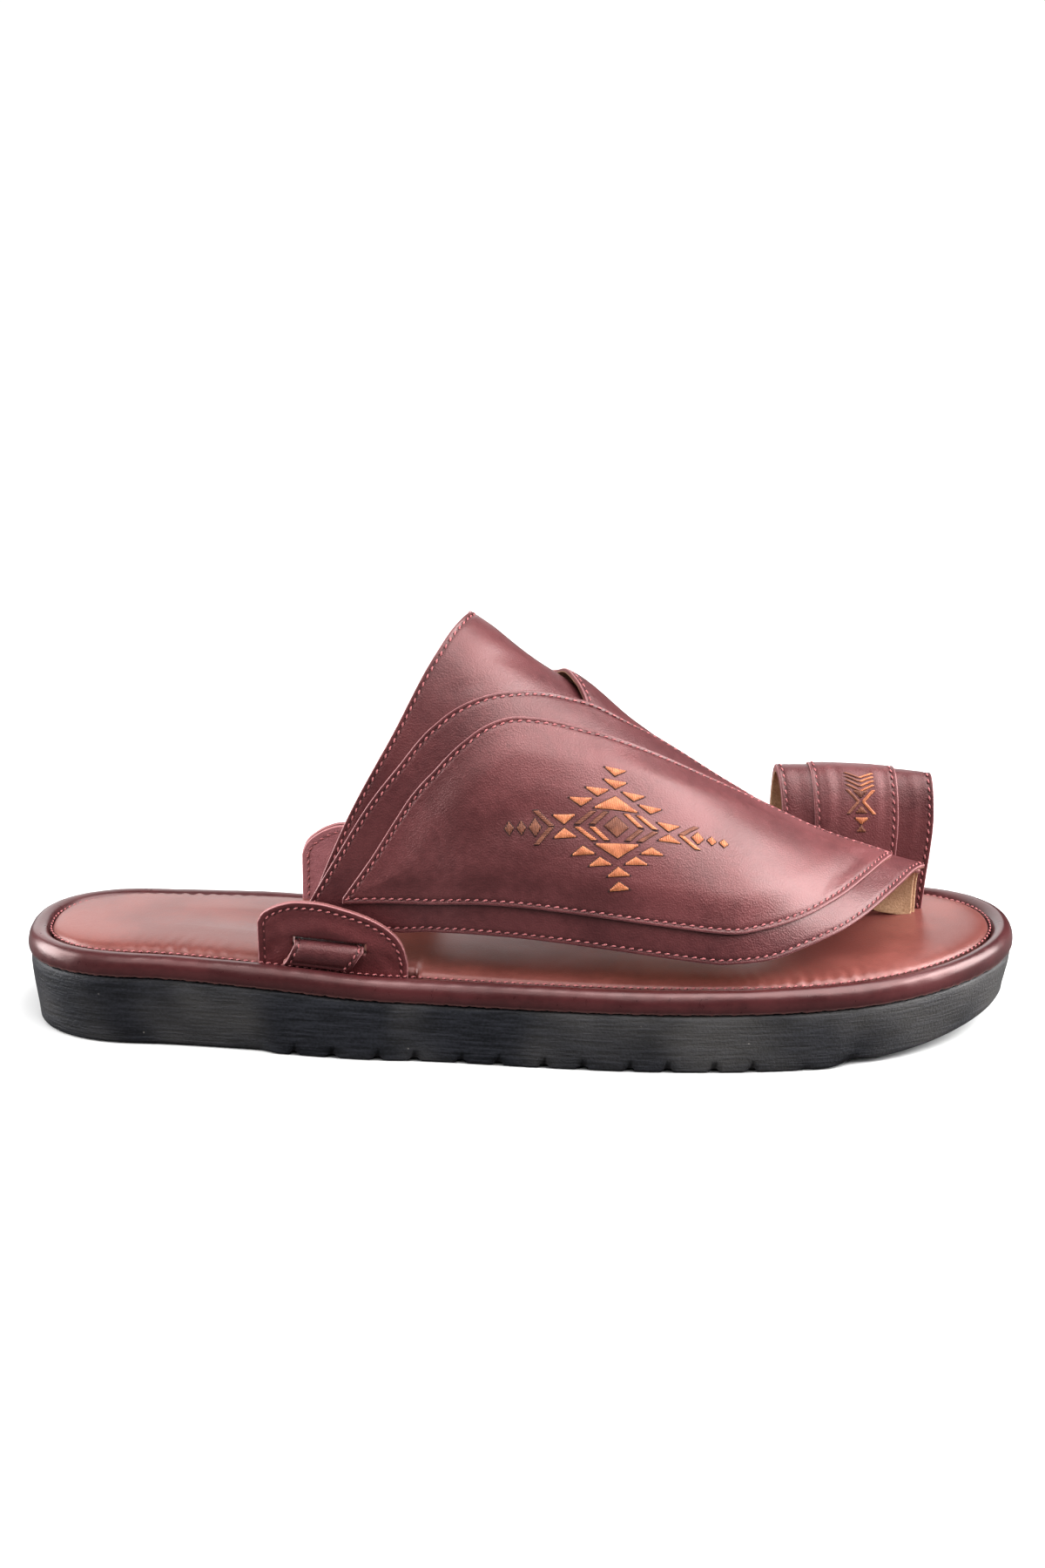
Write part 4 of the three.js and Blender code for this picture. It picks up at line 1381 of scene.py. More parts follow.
    def build(self) -> None:
        """Builds, sews and fits every strap."""
        fin = self.finishes
        strap, medial, lateral, overlay = (
            self.instep_strap(), self.medial_leaf(), self.lateral_leaf(), self.overlay(),
        )
        for name, sheet, face, node, slot in (
            ("instep_strap", strap, fin.strap, "upper", "strap_leather"),
            ("medial_leaf", medial, fin.strap, "upper", "strap_leather"),
            ("lateral_leaf", lateral, fin.strap, "upper", "strap_leather"),
            ("leaf_overlay_panel", overlay, fin.panel, "leaf_overlay", "panel_leather"),
        ):
            points, quads, finish, marks = sheet.shell()
            made = self.shop.piece(name, points, [quads], [face, fin.lining, fin.edge], finish, marks)
            self.shop.fit(made, node, slot)
        around = straight_path([(0, 0), (1, 0), (1, 1), (0, 1)])
        seams = [
            strap.seam(straight_path([(0, 0), (1, 0)], 900), 1.35),
            strap.seam(straight_path([(0, 1), (1, 1)], 900), 1.35),
            medial.seam(around, 1.35),
            lateral.seam(around, 1.35),
        ]
        self.shop.fit(self.stitcher.sew("strap_stitches", seams), "upper", "strap_leather")
        made = self.stitcher.sew("overlay_stitches", [overlay.seam(around, 1.35)])
        self.shop.fit(made, "leaf_overlay", "panel_leather")
        Embroidery(self.shop, self.finishes, self.stitcher).on_leaf(overlay)


@dataclass(frozen=True)
class Figure:
    """One figure of an embroidery chart: its corners, its thread and the way the thread runs."""

    corners: tuple[tuple[float, float], ...]
    gold: bool = True
    across: bool = False


def triangle(middle: float, base: float, tip: float, half: float, gold: bool = True) -> Figure:
    """A triangle with a level base and its tip above or below it."""
    return Figure(((middle - half, base), (middle + half, base), (middle, tip)), gold)


def diamond(middle: float, half: float, tall: float, gold: bool) -> Figure:
    """A diamond on the chart's level axis."""
    corners = ((middle - half, 0), (middle, -tall), (middle + half, 0), (middle, tall))
    return Figure(corners, gold)


def bar(start: tuple[float, float], end: tuple[float, float], wide: float, gold: bool) -> Figure:
    """A slanting bar of even width, measured across on the level."""
    (x0, y0), (x1, y1) = start, end
    return Figure(((x0 - wide, y0), (x0 + wide, y0), (x1 + wide, y1), (x1 - wide, y1)), gold, True)


def leaf_chart() -> list[Figure]:
    """The chart on the overlay: a diamond between stepped triangles, with two pointed arms."""
    chart = [diamond(0, 0.105, 0.165, False)]
    for up in (1, -1):
        chart.append(triangle(0, up * 0.275, up * 0.5, 0.2))
        chart.append(triangle(0, up * 0.775, up * 0.635, 0.105))
        chart.append(triangle(0, up * 0.99, up * 0.86, 0.095))
        for way in (1, -1):
            # Inner bars on the lit side are sewn in gold and those on the shaded side in brown: painted light and
            # shade on the bars.
            lit_bar = up == way
            chart.append(triangle(way * 0.16, up * 0.6, up * 0.475, 0.105))
            chart.append(triangle(way * 0.305, up * 0.425, up * 0.3, 0.105))
            chart.append(triangle(way * 0.46, up * 0.165, up * 0.03, 0.102))
            chart.append(bar((way * 0.215, up * 0.02), (way * 0.09, up * 0.225), 0.023, lit_bar))
            chart.append(bar((way * 0.345, up * 0.02), (way * 0.2, up * 0.225), 0.023, lit_bar))
            chart.append(bar((way * 0.575, up * 0.012), (way * 0.71, up * 0.225), 0.023, way > up))
    for way in (1, -1):
        chart.append(diamond(way * 0.72, 0.052, 0.12, way > 0))
        chart.append(diamond(way * 0.845, 0.038, 0.085, way > 0))
        chart.append(diamond(way * 0.955, 0.038, 0.08, way > 0))
    return chart


def band_chart() -> list[Figure]:
    """The chart on the band: chevrons over facing triangles."""
    chart = []
    for base in (1.05, 0.86, 0.67, 0.48):
        for way in (1, -1):
            chart.append(bar((way * 0.04, base - 0.24), (way * 0.62, base), 0.07, way > 0))
    chart.append(triangle(0, 0.24, 0.0, 0.32, False))
    for way in (1, -1):
        chart.append(bar((way * 0.62, 0.27), (way * 0.12, -0.12), 0.07, way > 0))
        chart.append(bar((way * 0.12, -0.14), (way * 0.62, -0.5), 0.07, way > 0))
    chart.append(triangle(0, -0.46, -0.26, 0.26, False))
    chart.append(triangle(0, -0.6, -0.78, 0.34))
    chart.append(triangle(0, -0.96, -0.8, 0.2, False))
    return chart


@dataclass
class Embroidery:
    """Satin-stitched figures laid over a sheet by a chart."""

    shop: Workshop
    finishes: Finishes
    stitcher: Stitcher
    pitch: float = 0.4
    thread: float = 0.22
    pillow: float = 0.4

    def threads(self, figure: Figure, unit_x: float, unit_y: float) -> list[Array]:
        """Chart lines across a figure, one for each thread.

        Args:
            figure: The figure.
            unit_x: Millimetres in one chart unit along.
            unit_y: Millimetres in one chart unit up.

        Returns:
            Points of each thread as chart x, chart y and rise in millimetres.
        """
        corners = np.array(figure.corners) * (unit_x, unit_y)
        lean = math.radians(8 if not figure.across else 90)
        way = np.array([math.sin(lean), math.cos(lean)])
        side = np.array([way[1], -way[0]])
        reach = corners @ side
        lines = []
        for level in np.arange(reach.min() + self.pitch / 2, reach.max(), self.pitch):
            cuts = []
            for p, q in zip(corners, np.roll(corners, -1, axis=0)):
                a, b = p @ side - level, q @ side - level
                if a * b < 0:
                    cuts.append((p + (q - p) * a / (a - b)) @ way)
            if len(cuts) >= 2 and max(cuts) - min(cuts) > 0.25:
                k = np.linspace(-1, 1, 5)
                middle, half = (max(cuts) + min(cuts)) / 2, (max(cuts) - min(cuts)) / 2
                flat = side * level + np.outer(middle + half * k, way)
                rise = self.pillow * min(1.0, 0.45 + half / 2.5) * np.sqrt(1 - 0.85 * k * k)
                lines.append(np.column_stack([flat / (unit_x, unit_y), rise]))
        return lines

    def lay(
        self, name: str, chart: list[Figure], place: Callable[[Array, Array, Array], Array],
        units: tuple[float, float], node: str, slot: str, outline: float = 0.18,
    ) -> None:
        """Sews a chart on a surface.

        Args:
            name: The start of the names of its pieces.
            chart: The figures.
            place: Points at chart x, chart y and a rise.
            units: Millimetres in one chart unit along and up.
            node: The node that the sheet stands for.
            slot: The sheet's material slot.
            outline: Radius of the dark tube round each figure, painted shadow where the threads sink into the
                leather.
        """
        for gold, thread in ((True, self.finishes.gold_thread), (False, self.finishes.brown_thread)):
            lines = []
            for figure in chart:
                if figure.gold == gold:
                    for x, y, rise in (line.T for line in self.threads(figure, *units)):
                        points = place(x, y, rise)
                        lines.append((points, np.zeros_like(points) + (0, 0, 1)))
            kind = "gold" if gold else "brown"
            made = self.stitcher.satin(f"{name}_{kind}", lines, self.thread, thread)
            self.shop.fit(made, node, slot)
        # A dark tube round each figure: painted shadow where the satin threads sink into the leather.
        outlines = []
        for figure in chart:
            middle = np.mean(figure.corners, axis=0)
            knots = np.array([*figure.corners, figure.corners[0]])
            grown = (knots - middle) * units
            away = unit(grown)
            knots = middle + (grown + 1.3 * outline * away) / units
            path = straight_path([tuple(k) for k in knots], 6)
            points = place(path[:, 0], path[:, 1], np.full(len(path), 0.03))
            outlines.append((points, np.zeros_like(points) + (0, 0, 1)))
        made = self.stitcher.satin(f"{name}_outline", outlines, outline, self.finishes.shade_thread)
        self.shop.fit(made, node, slot)

    def on_leaf(self, overlay: Sheet) -> None:
        """Sews the large chart on the overlay."""

        def place(x: Array, y: Array, rise: Array) -> Array:
            at = 0.589 + 0.1035 * x - 0.0055 * y
            turn = 0.2165 + 0.0565 * x + 0.0875 * y
            low, high = OVERLAY("lower", at), OVERLAY("upper", at)
            s = (at - OVERLAY.key[0]) / (OVERLAY.key[-1] - OVERLAY.key[0])
            t = (turn - low) / (high - low)
            base = overlay.face(s, t)
            level = overlay.relief.height(overlay.distance(base))
            for fold in overlay.folds:
                level = level + fold.height(overlay, base)
            return overlay.place(s, t, overlay.outer(s, t) + level + rise)

        self.lay("leaf_embroidery", leaf_chart(), place, (32.5, 20.0), "leaf_overlay", "panel_leather")


@dataclass
class ToeLoop:
    """The loop over the great toe and the band sewn over it."""

    shop: Workshop
    finishes: Finishes
    stitcher: Stitcher
    wall: float = 2.4
    height: float = 67.3
    fall: float = 0.6
    fullness: float = 2.3
    slot_depth: float = 3.0
    band_rear: float = 0.21
    band_front: float = 0.765
    band_foot: float = 0.022
    band_wall: float = 0.85
    gap: float = 0.05

    def point(self, share: Array, turn: Array, offset: Any) -> Array:
        """Points of the arch at a share of its width and of its half turn."""
        at = blend(LOOP_EDGES("rear", turn), LOOP_EDGES("front", turn), share)
        x = SOLE.lengthwise(at)
        near = LOOP_FOOT("lateral", at) * SOLE.ball_width
        far = SOLE.edge(x, SOLE.recess_inset)[1]
        foot = SOLE.bed(x) + SOLE.pad_rise - self.slot_depth
        rear, front = LOOP_EDGES("rear", 0.5), LOOP_EDGES("front", 0.5)
        top = self.height - self.fall * (at - rear) / (front - rear)
        angle = turn * np.pi
        spread = np.sign(np.cos(angle)) * np.abs(np.cos(angle)) ** (2 / self.fullness)
        climb = np.abs(np.sin(angle)) ** (2 / self.fullness)
        half = (far - near) / 2 + offset
        y = (near + far) / 2 - half * spread
        return np.stack([x, y, foot + (top - foot + offset) * climb], axis=-1)

    def sheet(self, bounds: tuple[float, float, float], inner: float, outer: float, relief: Relief,
              across: int, folds: Sequence[Fold] = ()) -> Sheet:
        """A strip of the arch from its lateral to its medial foot."""
        rear, front, foot = bounds

        def place(s: Array, t: Array, offset: Any) -> Array:
            return self.point(blend(rear, front, t), blend(foot, 1 - foot, s), offset)

        return Sheet(
            place, lambda s, t: inner + 0 * s, lambda s, t: outer + 0 * s, relief, 150, across, folds
        )

    def build(self) -> None:
        """Builds, sews and fits the loop and its band."""
        fin = self.finishes
        waves = (
            Fold(((0.1, 0.86), (0.3, 0.88), (0.5, 0.86)), 1.2, 0.4),
            Fold(((0.12, 0.12), (0.3, 0.13), (0.5, 0.12)), 1.0, -0.25),
        )
        loop = self.sheet((0, 1, 0.0), -self.wall, 0.0, Relief(crown=0.15), 40, waves)
        folds = (
            Fold(((0.12, 0.16), (0.32, 0.2), (0.55, 0.17)), 1.1, 0.35),
            Fold(((0.14, 0.28), (0.34, 0.31), (0.5, 0.28)), 1.0, -0.3),
            Fold(((0.16, 0.72), (0.34, 0.76), (0.55, 0.72)), 1.1, 0.3),
            Fold(((0.14, 0.84), (0.34, 0.86), (0.5, 0.84)), 0.9, -0.3),
        )
        band = self.sheet(
            (self.band_rear, self.band_front, self.band_foot), self.gap, self.gap + self.band_wall,
            Relief(crown=0.12), 24, folds,
        )
        for name, sheet, face, node, slot in (
            ("toe_loop_strap", loop, fin.strap, "toe_loop", "strap_leather"),
            ("toe_loop_band_panel", band, fin.panel, "toe_loop_band", "panel_leather"),
        ):
            points, quads, finish, marks = sheet.shell()
            made = self.shop.piece(name, points, [quads], [face, fin.lining, fin.edge], finish, marks)
            self.shop.fit(made, node, slot)
        borders = [straight_path([(0, 0), (1, 0)], 900), straight_path([(0, 1), (1, 1)], 900)]
        loop_seams = [loop.seam(path, 1.35) for path in borders]
        self.shop.fit(self.stitcher.sew("toe_loop_stitches", loop_seams), "toe_loop", "strap_leather")
        band_seams = [band.seam(path, 1.35) for path in borders]
        made = self.stitcher.sew("toe_loop_band_stitches", band_seams)
        self.shop.fit(made, "toe_loop_band", "panel_leather")

        def place(x: Array, y: Array, rise: Array) -> Array:
            t = 0.555 + 0.25 * x
            s = 0.287 + 0.113 * y
            level = band.relief.height(band.distance(band.face(s, t)))
            return band.place(s, t, band.outer(s, t) + level + rise)

        Embroidery(self.shop, fin, self.stitcher).lay(
            "band_embroidery", band_chart(), place, (6.3, 14.5), "toe_loop_band", "panel_leather",
            0.1,
        )


@dataclass
class Ear:
    """A half-moon of leather beside the footbed, and the strap tab through its slot."""

    shop: Workshop
    finishes: Finishes
    stitcher: Stitcher
    side: Side
    start: float
    height: float
    length: float = 42.8
    wall: float = 3.0
    lean: float = 2.5
    lean_start: float = 5.0
    lean_height: float = 23.1
    slot_rear: float = 0.235
    slot_front: float = 0.73
    slot_low: float = 9.2
    slot_high: float = 12.4
    tab_wall: float = 1.8

    @property
    def name(self) -> str:
        """The side's name, as nodes use it."""
        return self.side.name.lower()

    def point(self, along: Array, up: Array, out: Any) -> Array:
        """Points along the ear, up from the bed and out from its outer face."""
        x = self.start - SOLE.length / 2 + along
        edge = SOLE.edge(x, SOLE.recess_inset)[0 if self.side is Side.LATERAL else 1]
        lean = self.lean * np.maximum(0, up - self.lean_start) / self.lean_height
        return np.stack([x, edge + self.side.value * (out + lean), SOLE.bed(x) + up], axis=-1)

    def ply(
        self, inner: float, outer: float, relief: Relief, trim: float, folds: Sequence[Fold] = ()
    ) -> Sheet:
        """One of the two plies that an ear is sewn from.

        Args:
            inner: Offset of its inner face from the ear's outer face.
            outer: Offset of its outer face.
            relief: The rise and fall near its border.
            trim: How much lower its crown stands.
            folds: Creases placed one by one.

        Returns:
            The ply, with its slot cut.
        """

        def crown(s: Array) -> Array:
            return EAR_OUTLINE("up", s) * self.height - trim

        def place(s: Array, t: Array, offset: Any) -> Array:
            return self.point(s * self.length, t * crown(s), offset)

        sheet = Sheet(
            place, lambda s, t: inner + 0 * s, lambda s, t: outer + 0 * s, relief, 60, 20, folds
        )
        stops = sheet.s[:, 0].copy()
        near, far = (int(np.abs(stops - at).argmin()) for at in (self.slot_rear, self.slot_front))
        stops[near], stops[far] = self.slot_rear, self.slot_front
        top = crown(stops)
        low = np.minimum(self.slot_low, 0.45 * top)
        high = np.minimum(self.slot_high, 0.62 * top)
        near_top = np.maximum(0, 1 - EDGE_STEPS[::-1] / 8.0)
        levels = [blend(0, low, k) for k in np.linspace(0, 1, 9)]
        levels += [blend(low, high, k) for k in np.linspace(0, 1, 5)[1:]]
        first = near_top[0]
        levels += [blend(high, high + (top - high) * first, k) for k in np.linspace(0, 1, 9)[1:-1]]
        levels += [blend(high, top, k) for k in near_top]
        sheet.t = np.stack(levels, axis=1) / top[:, None]
        sheet.s = np.repeat(stops[:, None], sheet.t.shape[1], axis=1)
        sheet.kept = np.ones((sheet.s.shape[0] - 1, sheet.s.shape[1] - 1), bool)
        sheet.kept[near:far, 8:12] = False
        return sheet

    def tab(self) -> Sheet:
        """The end of the strap, out through the slot and down to the rim."""

        def place(s: Array, t: Array, offset: Any) -> Array:
            step = 1e-3
            a, b = np.clip(s - step, 0, 1), np.clip(s + step, 0, 1)
            run_out = TAB_PATH("out", b) - TAB_PATH("out", a)
            run_up = TAB_PATH("up", b) - TAB_PATH("up", a)
            size = np.hypot(run_out, run_up)
            out = TAB_PATH("out", s) - run_up / size * offset
            up = TAB_PATH("up", s) + run_out / size * offset
            foot = np.maximum(0, 2 * s - 1)
            along = blend(blend(0.25, 0.17, foot), blend(0.71, 0.6, foot), t)
            return self.point(along * self.length, up, out)

        half = self.tab_wall / 2
        return Sheet(
            place, lambda s, t: -half + 0 * s, lambda s, t: half + 0 * s, Relief(crown=0.15), 26, 30
        )

    def build(self) -> None:
        """Builds, sews and fits the ear and its tab."""
        fin = self.finishes
        relief = Relief(seam_inset=1.9, crown=0.4, crown_reach=6.0)
        folds = (
            Fold(((0.08, 0.5), (0.45, 0.68), (0.92, 0.55)), 2.6, 0.7),
            Fold(((0.05, 0.2), (0.12, 0.42), (0.2, 0.55)), 1.8, -0.4),
            Fold(((0.78, 0.6), (0.88, 0.4), (0.94, 0.15)), 1.8, -0.4),
        )
        outer = self.ply(-1.5, 0.0, relief, 0.0, folds)
        inner = self.ply(-self.wall, -1.62, Relief(seam_inset=1.9, seam_depth=0.1), 0.35)
        shells = [outer.shell(), inner.shell()]
        count = len(shells[0][0])
        points = np.concatenate([shell[0] for shell in shells])
        quads = np.concatenate([shells[0][1], shells[1][1] + count])
        finish = np.concatenate([shell[2] for shell in shells])
        marks = {key: np.concatenate([shell[3][key] for shell in shells]) for key in shells[0][3]}
        first = len(shells[0][2])
        finish = np.where(finish == 1, 0, finish)
        # The inner ply takes the lighter facing leather: a painted lit copy of the ear leather.
        finish[first:][finish[first:] == 0] = 1
        made = self.shop.piece(
            f"{self.name}_ear_flap", points, [quads], [fin.ear, fin.facing, fin.edge], finish, marks
        )
        self.shop.fit(made, f"{self.name}_ear", "ear_leather")
        over = straight_path([(0, 0), (0, 1), (1, 1), (1, 0)])
        facing = self.ply(-1.62, -self.wall, Relief(seam_inset=1.9, seam_depth=0.0), 0.35)
        seams = [outer.seam(over, 1.9), facing.seam(over, 1.9, -0.12)]
        made = self.stitcher.sew(f"{self.name}_ear_stitches", seams, 2.3)
        self.shop.fit(made, f"{self.name}_ear", "ear_leather")
        tab = self.tab()
        points, quads, finish, marks = tab.shell()
        made = self.shop.piece(
            f"{self.name}_tab", points, [quads], [fin.strap, fin.lining, fin.edge], finish, marks
        )
        self.shop.fit(made, f"{self.name}_strap_tab", "strap_leather")
        sides = [tab.seam(straight_path([(0.35, t), (0.97, t)]), 1.35) for t in (0, 1)]
        made = self.stitcher.sew(f"{self.name}_tab_stitches", sides, 2.3)
        self.shop.fit(made, f"{self.name}_strap_tab", "strap_leather")


def ring_skin(rings: Array, across: int, cap_lift: Callable[[Array, Array], Array] | None = None) -> Any:
    """Skins rings from bottom to top and closes both ends with level rungs.

    Args:
        rings: Rings of the sole, as an array of rings of points.
        across: Steps across the top cap.
        cap_lift: Rise of the top cap at a share of the length and a share across.

    Returns:
        Points, quads and triangles.
    """
    layers, count, _ = rings.shape
    stations = count // 2
    points = [rings.reshape(-1, 3)]
    number = np.arange(layers * count).reshape(layers, count)
    near, far = number[:-1], number[1:]
    quads = [np.stack([near, np.roll(near, -1, 1), np.roll(far, -1, 1), far], -1).reshape(-1, 4)]
    triangles = []
    total = layers * count
    for ring, steps, flip in ((number[0], 2, True), (number[-1], across, False)):
        base = rings[0 if flip else -1]
        lateral = np.arange(1, stations)
        medial = count - lateral
        share = np.linspace(0, 1, steps + 1)[None, 1:-1, None]
        inner = blend(base[lateral][:, None], base[medial][:, None], share)
        if cap_lift is not None and not flip:
            inner[..., 2] += cap_lift(inner[..., 0], share[..., 0])
        points.append(inner.reshape(-1, 3))
        grid = np.empty((stations + 1, steps + 1), int)
        grid[0], grid[-1] = ring[0], ring[stations]
        grid[1:-1, 0], grid[1:-1, -1] = ring[lateral], ring[medial]
        grid[1:-1, 1:-1] = total + np.arange(inner.shape[0] * inner.shape[1]).reshape(inner.shape[:2])
        total += inner.shape[0] * inner.shape[1]
        body = np.stack([grid[1:-2, :-1], grid[1:-2, 1:], grid[2:-1, 1:], grid[2:-1, :-1]], -1)
        ends = [
            np.stack([np.full(steps, grid[0, 0]), grid[1, 1:], grid[1, :-1]], -1),
            np.stack([np.full(steps, grid[-1, 0]), grid[-2, :-1], grid[-2, 1:]], -1),
        ]
        body = body.reshape(-1, 4)
        if flip:
            body, ends = body[:, ::-1], [end[:, ::-1] for end in ends]
        quads.append(body[:, ::-1])
        triangles += ends
    return np.concatenate(points), np.concatenate(quads), np.concatenate(triangles)


@dataclass
class Sole:
    """Rubber outsole, leather-wrapped midsole with a rolled rim, and the padded footbed."""

    shop: Workshop
    finishes: Finishes
    stitcher: Stitcher
    stations: int = 560
    tread_width: float = 2.4
    tread_depth: float = 1.4
    tread_pair: float = 23.7
    tread_first: tuple[float, float] = (80.5, 91.2)
    toe_notch: float = 238.0
    ears: tuple[tuple[Side, float], ...] = ((Side.LATERAL, 70.2), (Side.MEDIAL, 79.0))

    def tread(self, x: Array) -> Array:
        """How far the tread cuts up into the underside at x."""
        s = x + SOLE.length / 2
        cut = np.zeros_like(s)
        for first in self.tread_first:
            for k in range(6):
                place = first + k * self.tread_pair
                cut = np.maximum(cut, smoothstep(self.tread_width / 2 + 0.3 - np.abs(s - place), 0, 0.6))
        wave = 1.3 * bell(s, self.toe_notch, 4.0) + 0.5 * bell(s, 225.0, 2.0)
        return self.tread_depth * cut + wave

    def ends(self, x: Array) -> Array:
        """1 in the bevelled heel and toe zones of the outsole and 0 between them."""
        s = x + SOLE.length / 2
        return 1 - smoothstep(s, 68, 76) * (1 - smoothstep(s, 234, 242))

    def outsole(self) -> None:
        """Builds and fits the rubber outsole."""
        levels = (
            (4.4, 0.0, 0.0), (2.5, 0.0, 0.15), (1.5, 0.0, 0.5), (1.1, 0.0, 1.1), (1.0, 0.0, 1.9),
            (1.0, 0.12, 1.5), (0.95, 0.25, 1.2), (0.9, 0.4, 0.8), (0.85, 0.55, 0.5), (0.8, 0.7, 0.2),
            (0.8, 0.85, 0.0), (0.85, 0.93, 0.0), (1.1, 0.975, 0.0), (1.8, 1.0, 0.0),
        )
        rings = []
        for index, (inset, share, rise) in enumerate(levels):
            taper = 1.6 * max(0.0, 1 - share / 0.8)

            def drawn(x: Array, side: Side, inset: float = inset, taper: float = taper) -> Array:
                return inset + taper * self.ends(x)

            def height(x: Array, share: float = share, rise: float = rise, index: int = index) -> Array:
                bottom, top = SOLE.bottom(x), SOLE.top(x)
                bevel = rise * blend(0.45, 1.0, self.ends(x)) if index < 5 else rise * 0.6 + 1.2
                low = bottom + self.tread(x) * (1.0 if index < 4 else max(0.0, 1 - index / 7)) + bevel
                return blend(low, top, share)

            rings.append(SOLE.ring(drawn, height, self.stations))
        points, quads, triangles = ring_skin(np.array(rings), 4)
        made = self.shop.piece("outsole_rubber_tread", points, [quads, triangles], [self.finishes.rubber])
        self.shop.fit(made, "outsole", "outsole_rubber")

    def midsole(self) -> None:
        """Builds and fits the leather-wrapped midsole and its rolled rim."""
        profile = (
            (8.5, 0.3), (1.4, 0.3), (0.62, 0.42), (0.34, 0.75), (0.14, 1.3), (0.03, 2.2), (0.0, 3.2),
            (0.06, 4.1), (0.28, 5.0), (0.7, 5.8), (1.3, 6.4), (2.0, 6.8), (2.8, 6.95), (3.6, 6.83),
            (4.3, 6.58), (5.0, 6.2), (5.6, 5.75), (6.1, 5.2), (6.5, 4.6), (6.78, 4.0), (6.9, 3.4), (6.95, 2.85),
        )
        rings = []
        for inset, level in profile:
            roll = smoothstep(level, 1.5, 5.5) * (1 - smoothstep(inset, 4.5, 6.0))
            hem = bell(level, 0.55, 0.5)

            def drawn(x: Array, side: Side, inset: float = inset, roll: float = roll, hem: float = hem) -> Array:
                s = x + SOLE.length / 2 + (900 if side is Side.MEDIAL else 0)
                calm = smoothstep(SOLE.length / 2 - np.abs(x), 0, 12)
                wave = 0.16 * np.sin(s * 0.11) + 0.1 * np.sin(s * 0.29 + 1) + 0.05 * np.sin(s * 0.83 + 2)
                wave = wave * calm
                pucker = 0.1 * np.sin(s * 1.9) * bell(s % 97, 55, 16) * calm
                rag = 0.12 * np.sin(s * 2.3) * np.sin(s * 0.61 + 0.5) * calm
                return inset + roll * (wave + 0.22) + (0.6 * pucker + rag) * hem + 0.12 * roll

            def height(x: Array, level: float = level, hem: float = hem) -> Array:
                s = x + SOLE.length / 2
                rag = 0.16 * np.sin(s * 1.37 + 1) * np.sin(s * 0.47) + 0.08 * np.sin(s * 3.1)
                swell = 0.12 * np.sin(s * 0.093 + 0.6) * smoothstep(level, 3, 7)
                return SOLE.top(x) + level + hem * rag + swell - 0.1 * smoothstep(level, 3, 7)

            rings.append(SOLE.ring(drawn, height, self.stations))
        points, quads, triangles = ring_skin(np.array(rings), 4)
        hems = np.array([level for _, level in profile])
        count = len(rings[0])
        border = np.full(len(points), 9.0)
        border[: count * len(profile)] = np.repeat(np.abs(hems - 0.5) * 0.4, count)
        marks = {"border": border}
        made = self.shop.piece("midsole_rim", points, [quads, triangles], [self.finishes.rim], None, marks)
        self.shop.fit(made, "midsole", "rim_leather")

    def footbed(self) -> None:
        """Builds and fits the padded footbed, drawn in where the ears and the loop stand."""
        rise = SOLE.pad_rise
        profile = (
            (1.0, -0.1), (0.25, 0.02), (0.02, 0.14), (0.0, 0.28), (0.05, 0.42), (0.3, 0.54), (0.75, 0.65),
            (1.4, 0.74), (2.3, 0.81), (3.4, 0.865), (4.8, 0.91), (6.8, 0.95), (9.2, 0.978),
            (12.0, 0.992), (14.5, 0.998), (17.0, 1.0),
        )
        rings = []
        for inset, share in profile:
            loose = bell(inset, 2.2, 3.2)

            def drawn(x: Array, side: Side, inset: float = inset) -> Array:
                s = x + SOLE.length / 2
                notch = np.zeros_like(s)
                for ear_side, start in self.ears:
                    if side is ear_side:
                        notch = smoothstep(s, start - 0.8, start) * (1 - smoothstep(s, start + 42.8, start + 43.6))
                deep = 3.4 * notch
                if side is Side.MEDIAL:
                    loop = smoothstep(s, 219.6, 220.4) * (1 - smoothstep(s, 264.2, 265.0))
                    deep = deep + 2.8 * loop
                return SOLE.recess_inset + inset + deep * (1 - smoothstep(inset, 0.0, 14.0))

            def height(x: Array, share: float = share, loose: float = loose) -> Array:
                s = x + SOLE.length / 2
                zone = bell(s, 48, 14) + bell(s, 226, 24) + 0.08
                pucker = np.sin(s * 2 * np.pi / 3.9) + 0.5 * np.sin(s * 2 * np.pi / 5.3 + 1)
                full = 0.8 * bell(s, 80, 62) * smoothstep(share, 0.4, 1.0)
                return SOLE.bed(x) + rise * share + full + 0.2 * pucker * zone * loose

            rings.append(SOLE.ring(drawn, height, self.stations))

        def dish(x: Array, across: Array) -> Array:
            round_over = np.sin(np.pi * across)
            s = x + SOLE.length / 2
            fade = smoothstep(s, 26, 70) * (1 - smoothstep(s, 215, 255))
            return -0.7 * fade * round_over * (bell(s, 66, 40) + 0.6 * bell(s, 200, 40))

        points, quads, triangles = ring_skin(np.array(rings), 24, dish)
        border = np.full(len(points), 9.0)
        insets = [inset for inset, _ in profile]
        border[: len(rings[0]) * len(profile)] = np.repeat(insets, len(rings[0]))
        # The pad's lowest rings are marked as border so they take the full dark edge colour: painted shade in the
        # groove.
        border[: len(rings[0]) * 4] = 0.0
        made = self.shop.piece(
            "footbed_pad", points, [quads, triangles], [self.finishes.bed], None, {"border": border}
        )
        self.shop.fit(made, "footbed", "footbed_leather")

    def groove_seam(self) -> None:
        """Sews the stitches that show in the groove between rim and footbed."""
        line = SOLE.ring(6.8, lambda x: SOLE.top(x) + 6.0, 400)
        line = np.concatenate([line, line[:1]])
        seam = SeamLine(line, np.zeros_like(line) + (0.0, 0.0, 1.0), np.ones(len(line), bool))
        made = self.stitcher.sew("groove_stitches", [seam], 2.2)
        self.shop.fit(made, "midsole", "rim_leather")

